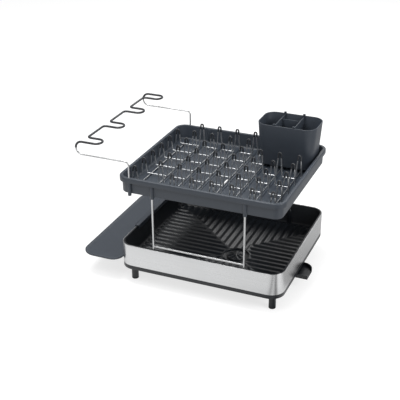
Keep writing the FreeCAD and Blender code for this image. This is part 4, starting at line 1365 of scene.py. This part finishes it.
@dataclass
class Caddy:
    """The tapered cutlery cup and its divider insert."""

    corner: float = 27.5
    taper: float = 8.3
    wall: float = 2.2
    slot_count: int = 5
    slot: tuple[float, float, float] = (4.0, 46.0, 1.8)
    divider_x: tuple[float, float] = (95.05, 143.55)
    divider_half: float = 0.9
    divider_depth: float = 82.0
    divider_drop: float = 2.0
    cross_y: float = 135.0
    hook_half: float = 3.0
    hook_rise: float = 4.0
    hook_tail: float = 5.0
    hook_inset: float = 0.55
    stem_drop: float = 0.5
    nest_gap: float = 0.4

    def build(self) -> None:
        """Makes the cup and its insert."""
        box = Extent.of("cutlery_caddy")
        self._cup(box)
        self._insert(box)

    def _cup(self, box: Extent) -> None:
        """The cup with drain slots in its floor."""
        plan = Plan.around(box, self.corner)
        low, high = box.low.z, box.high.z
        floor = low + self.wall
        shape = Shaper().moulding([
            Ring(plan.inset(self.taper), low, rounding=2.2),
            Ring(plan, high, rounding=0.8),
            Ring(plan.inset(self.wall), high, rounding=0.8),
            Ring(plan.inset(self.taper + self.wall), floor, rounding=1.0),
        ])
        pitch = (plan.width - 2 * plan.corner) / self.slot_count
        for index in range(self.slot_count):
            x = plan.x + pitch * (index - (self.slot_count - 1) / 2)
            shape.pierce(Plan(*self.slot, x, plan.y), low, floor)
        shape.finish(Tag("cutlery_cup", Body.CADDY, Slot.SLATE_PLASTIC, ["cutlery_caddy"]))

    def _insert(self, box: Extent) -> None:
        """Two dividers and a cross piece, hung from the cup's rim by hooks."""
        crest = Extent.of("caddy_divider").high.z
        low, high = box.high.z - self.divider_depth, box.high.z - self.divider_drop
        middle = box.middle.y
        reach = box.size.y / 2 - self.wall - self.nest_gap
        taper = self.taper * self.divider_depth / box.size.z
        thickness = 2 * self.divider_half
        shape = Shaper()
        for x in self.divider_x:
            wall = about(x, self.divider_half)
            reaches = about(middle, reach)
            shape.block(wall, reaches, (low, high), edge=0.4, draw_in=(0.0, taper))
            hook = about(x, self.hook_half)
            for side in (-1, 1):
                inner = middle + side * (reach - thickness)
                outer = middle + side * (box.size.y / 2 - self.hook_inset)
                shape.block(hook, (inner, outer), (crest - self.hook_rise, crest), edge=0.9)
                stem = (high - self.hook_tail, crest - self.stem_drop)
                shape.block(hook, (inner, inner + side * thickness), stem, edge=0.4)
        cross = about(self.cross_y, self.divider_half)
        shape.block(self.divider_x, cross, (low, high - self.hook_rise), edge=0.4)
        shape.finish(Tag("divider_insert", Body.DIVIDER, Slot.SLATE_PLASTIC, ["caddy_divider"]))


@dataclass
class StemwareRack:
    """The bright arms and the coated rail that holds glasses by their stems."""

    radius: float = 2.0
    coat: float = 0.75
    post_x: float = -170.0
    post_y: float = 178.0
    arm_z: float = 321.0
    arm_bend: float = 9.0
    turn_x: float = -306.0
    turn_radius: float = 16.0
    rail_x: float = -290.0
    rail_z: float = 353.0
    finger_tip: float = -244.0
    finger_half: float = 14.5
    finger_count: int = 4
    finger_corner: float = 8.0

    def build(self) -> None:
        """Makes the two arms and the rail."""
        self.turn_z = self.arm_z + self.turn_radius
        self._arm("front", -self.post_y)
        self._arm("rear", self.post_y)
        self._rail()

    def _arm(self, end: str, y: float) -> None:
        """One post with its arm, up to the start of the coated wire."""
        node = f"stemware_arm_{end}"
        route = [
            Bend.at(self.post_x, y, Extent.of(node).low.z),
            Bend.at(self.post_x, y, self.arm_z, self.arm_bend),
            Bend.at(self.turn_x, y, self.arm_z, self.turn_radius),
            Bend.at(self.turn_x, y, self.turn_z),
        ]
        tag = Tag(f"bright_arm_{end}", Body.STEMWARE_RACK, Slot.LEG_WIRE, [node])
        bent_wires(tag, [route], self.radius)

    def _rail(self) -> None:
        """The coated wire that winds in and out in fingers."""
        pitch = 2 * (self.post_y - self.finger_half) / (self.finger_count - 1)
        fingers = []
        for index in range(self.finger_count):
            near, far = about(pitch * (index - (self.finger_count - 1) / 2), self.finger_half)
            fingers += [
                Bend.at(self.rail_x, near, self.rail_z, self.finger_corner),
                Bend.at(self.finger_tip, near, self.rail_z, self.finger_half),
                Bend.at(self.finger_tip, far, self.rail_z, self.finger_half),
                Bend.at(self.rail_x, far, self.rail_z, self.finger_corner),
            ]
        route = [
            Bend.at(self.turn_x, -self.post_y, self.turn_z),
            Bend.at(self.turn_x, -self.post_y, self.rail_z, self.turn_radius),
            *fingers[1:-1],
            Bend.at(self.turn_x, self.post_y, self.rail_z, self.turn_radius),
            Bend.at(self.turn_x, self.post_y, self.turn_z),
        ]
        tag = Tag("coated_rail", Body.STEMWARE_RACK, Slot.BLACK_COATING, ["stemware_rail"])
        bent_wires(tag, [route], self.radius + self.coat)


@dataclass
class DripTray:
    """The shallow side tray that hooks over the lower tray's rim."""

    corner: float = 27.0
    left_corner: float = 35.0
    depth: float = 365.4
    low: float = 54.0
    rim_height: float = 4.6
    rim_width: float = 2.4
    floor: float = 2.2
    cove: float = 8.0
    back_wall: float = 2.4
    back_x: float = -206.2
    back_foot: float = 55.0
    back_top: float = 89.0
    back_half: float = 150.0
    hook_half: float = 86.0
    hook_wall: float = 2.0
    hook_tail: float = 10.0
    tray_width: float = 106.5

    def build(self) -> None:
        """Makes the tray, its back wall and its hook."""
        box = Extent.of("drip_tray")
        middle = self.back_x - self.tray_width / 2
        plan = Plan(self.tray_width, self.depth, self.corner, middle, 0.0, self.left_corner)
        top = self.low + self.rim_height
        shape = Shaper().moulding([
            Ring(plan, self.low, rounding=1.6),
            Ring(plan, top, rounding=0.9),
            Ring(plan.inset(self.rim_width), top, rounding=0.7),
            Ring(plan.inset(self.cove), self.low + self.floor, rounding=1.5),
        ])
        end, crest = box.high.x, box.high.z
        back, reach = (self.back_x - self.back_wall, self.back_x), about(0, self.hook_half)
        shape.block(back, about(0, self.back_half), (self.back_foot, self.back_top), edge=0.9)
        shape.block(back, reach, (self.back_foot, crest), edge=0.9)
        shape.block((back[0], end), reach, (crest - self.hook_wall, crest), edge=0.8)
        shape.block((end - self.hook_wall, end), reach, (crest - self.hook_tail, crest), edge=0.8)
        shape.finish(Tag("side_tray", Body.DRIP_TRAY, Slot.SLATE_PLASTIC, ["drip_tray"]))


@dataclass(frozen=True)
class Lamp:
    """A square soft lamp: its place from where it aims, its side and its power."""

    name: str
    place: tuple[float, float, float]
    size: float
    power: float


@dataclass
class Studio:
    """White floor, soft lamps and a camera at the photograph's viewing angle."""

    base_centre: Vector
    camera_offset: Vector = field(default_factory=lambda: Vector((0.6888, -1.7950, 1.1278)))
    azimuth: float = 22.866
    elevation: float = 26.349
    roll: float = -0.266
    focal_pixels: float = 873.63
    frame_pixels: float = 400.0
    sensor: float = 36.0
    aim_height: float = 0.15
    floor_size: float = 14.0
    floor_tone: float = 0.40
    # The floor's tone in reflections where the panels paint shade onto the metal.
    reflection_shade_tone: float = 0.02
    floor_roughness: float = 0.9
    floor_specular: float = 0.1
    floor_glow: float = 0.72
    world_level: float = 0.42
    # Painted reflection shade: how much of the floor's white the reflections show, by bearing as a
    # share of a turn.
    reflection_shade_panels: Pairs = (
        (0.0, 0.85), (0.14, 1.0), (0.26, 0.92), (0.335, 0.82), (0.35, 0.15), (0.365, 0.85),
        (0.39, 0.12), (0.41, 0.95), (0.455, 0.9), (0.48, 0.45), (0.6, 0.5), (0.75, 0.6),
        (0.9, 0.8),
    )
    lamps: Sequence[Lamp] = (
        Lamp("key_lamp", (-0.5, -1.6, 2.3), 1.2, 18.0),
        Lamp("top_lamp", (-0.6, 0.1, 2.5), 1.3, 46.0),
        Lamp("side_lamp", (2.2, -0.5, 1.3), 0.9, 26.0),
        Lamp("rear_lamp", (0.1, 2.2, 1.35), 1.2, 9.5),
    )

    def build(self) -> None:
        """Makes the floor, the world, the lamps and the camera."""
        self._floor()
        self._world()
        for lamp in self.lamps:
            self._lamp(lamp)
        self._camera()
        bpy.context.scene.view_settings.view_transform = "Standard"

    def _floor(self) -> None:
        """A plain white floor that keeps the object's shadow, and shows painted shade panels in the
        reflections on metal.
        """
        mesh = bpy.data.meshes.new("floor")
        bm = bmesh.new()
        bmesh.ops.create_grid(bm, x_segments=1, y_segments=1, size=self.floor_size / 2)
        bm.to_mesh(mesh)
        bm.free()
        floor = bpy.data.objects.new("floor", mesh)
        bpy.context.scene.collection.objects.link(floor)
        graph = Graph("floor")
        rays = graph.add("ShaderNodeLightPath")
        camera, glossy, clear = (
            Term(graph, rays.outputs[f"Is {kind} Ray"])
            for kind in ("Camera", "Glossy", "Transmission")
        )
        reflection_shade_panels = graph.ramp(self._bearing(graph), self.reflection_shade_panels)
        # Glossy rays see the floor darkened by bearing: painted shade in the reflections on the
        # metal.
        tones = [(tone,) * 3 for tone in (self.floor_tone, self.reflection_shade_tone)]
        graph.set(
            Base_Color=graph.blend(glossy * (1.0 - reflection_shade_panels), *tones),
            Roughness=self.floor_roughness,
            Specular_IOR_Level=self.floor_specular,
            Emission_Color=(1.0, 1.0, 1.0, 1.0),
            Emission_Strength=(camera + clear + glossy * reflection_shade_panels) * self.floor_glow,
        )
        floor.data.materials.append(graph.material)

    def _bearing(self, graph: Graph) -> Term:
        """The bearing of a place on the floor from the rack, as a share of a turn."""
        split = graph.add("ShaderNodeSeparateXYZ", None, {0: graph.coordinates()})
        across = Term(graph, split.outputs[0]) - self.base_centre.x
        angle = graph.compute("ARCTAN2", Term(graph, split.outputs[1]), across)
        return angle * (1 / math.tau) + 0.5

    def _world(self) -> None:
        """White to the camera and through clear things, and a plain grey to all other rays."""
        world = bpy.data.worlds.new("studio")
        bpy.context.scene.world = world
        world.use_nodes = True
        tree = world.node_tree
        background = tree.nodes["Background"]
        rays = tree.nodes.new("ShaderNodeLightPath")
        seen = tree.nodes.new("ShaderNodeMath")
        seen.operation = "MAXIMUM"
        tree.links.new(rays.outputs["Is Camera Ray"], seen.inputs[0])
        tree.links.new(rays.outputs["Is Transmission Ray"], seen.inputs[1])
        level = tree.nodes.new("ShaderNodeMapRange")
        level.inputs["To Min"].default_value = self.world_level
        level.inputs["To Max"].default_value = 1.0
        tree.links.new(seen.outputs[0], level.inputs["Value"])
        background.inputs["Color"].default_value = (1.0, 1.0, 1.0, 1.0)
        tree.links.new(level.outputs[0], background.inputs["Strength"])

    def _lamp(self, lamp: Lamp) -> None:
        """Adds one lamp that faces the rack's middle."""
        light = bpy.data.lights.new(lamp.name, "AREA")
        light.size = lamp.size
        light.energy = lamp.power
        holder = bpy.data.objects.new(lamp.name, light)
        bpy.context.scene.collection.objects.link(holder)
        middle = self.base_centre + Vector((0, 0, self.aim_height))
        holder.location = middle + Vector(lamp.place)
        holder.rotation_euler = (middle - holder.location).to_track_quat("-Z", "Y").to_euler()

    def _camera(self) -> None:
        """Places the camera that matches the photograph."""
        turn, tilt, roll = map(math.radians, (self.azimuth, self.elevation, self.roll))
        level = math.cos(tilt)
        back = Vector((math.sin(turn) * level, -math.cos(turn) * level, math.sin(tilt)))
        level_right = (-back).cross(Vector((0, 0, 1))).normalized()
        level_up = level_right.cross(-back)
        right = level_right * math.cos(roll) + level_up * math.sin(roll)
        up = level_up * math.cos(roll) - level_right * math.sin(roll)
        data = bpy.data.cameras.new("camera")
        data.sensor_width = self.sensor
        data.lens = self.sensor * self.focal_pixels / self.frame_pixels
        camera = bpy.data.objects.new("camera", data)
        bpy.context.scene.collection.objects.link(camera)
        place = Vector((self.base_centre.x, self.base_centre.y, 0)) + self.camera_offset
        turned = Matrix((right, up, back)).transposed().to_4x4()
        camera.matrix_world = Matrix.Translation(place) @ turned
        bpy.context.scene.camera = camera


def dress_frame() -> None:
    """Gives every CAD node the finish of its slot in the record."""
    slots = {row["node"]: row["material_slot"] for row in frame["record"]["subparts"]}
    for name, node in frame["nodes"].items():
        FINISHES.dress(node, Slot(slots[name]))


def main() -> None:
    """Builds the scene in order."""
    logging.basicConfig(level=logging.INFO, format="%(name)s: %(message)s")
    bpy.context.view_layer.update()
    dress_frame()
    for part in (
        BaseFrame(), SteelBand(), LowerTray(), Drain(), LegFrames(), UpperTray(),
        PlateRack(), Caddy(), StemwareRack(), DripTray(),
    ):
        LOG.info("building %s", type(part).__name__)
        part.build()
    Studio(BASE_MIDDLE).build()


if __name__ == "__main__":
    main()
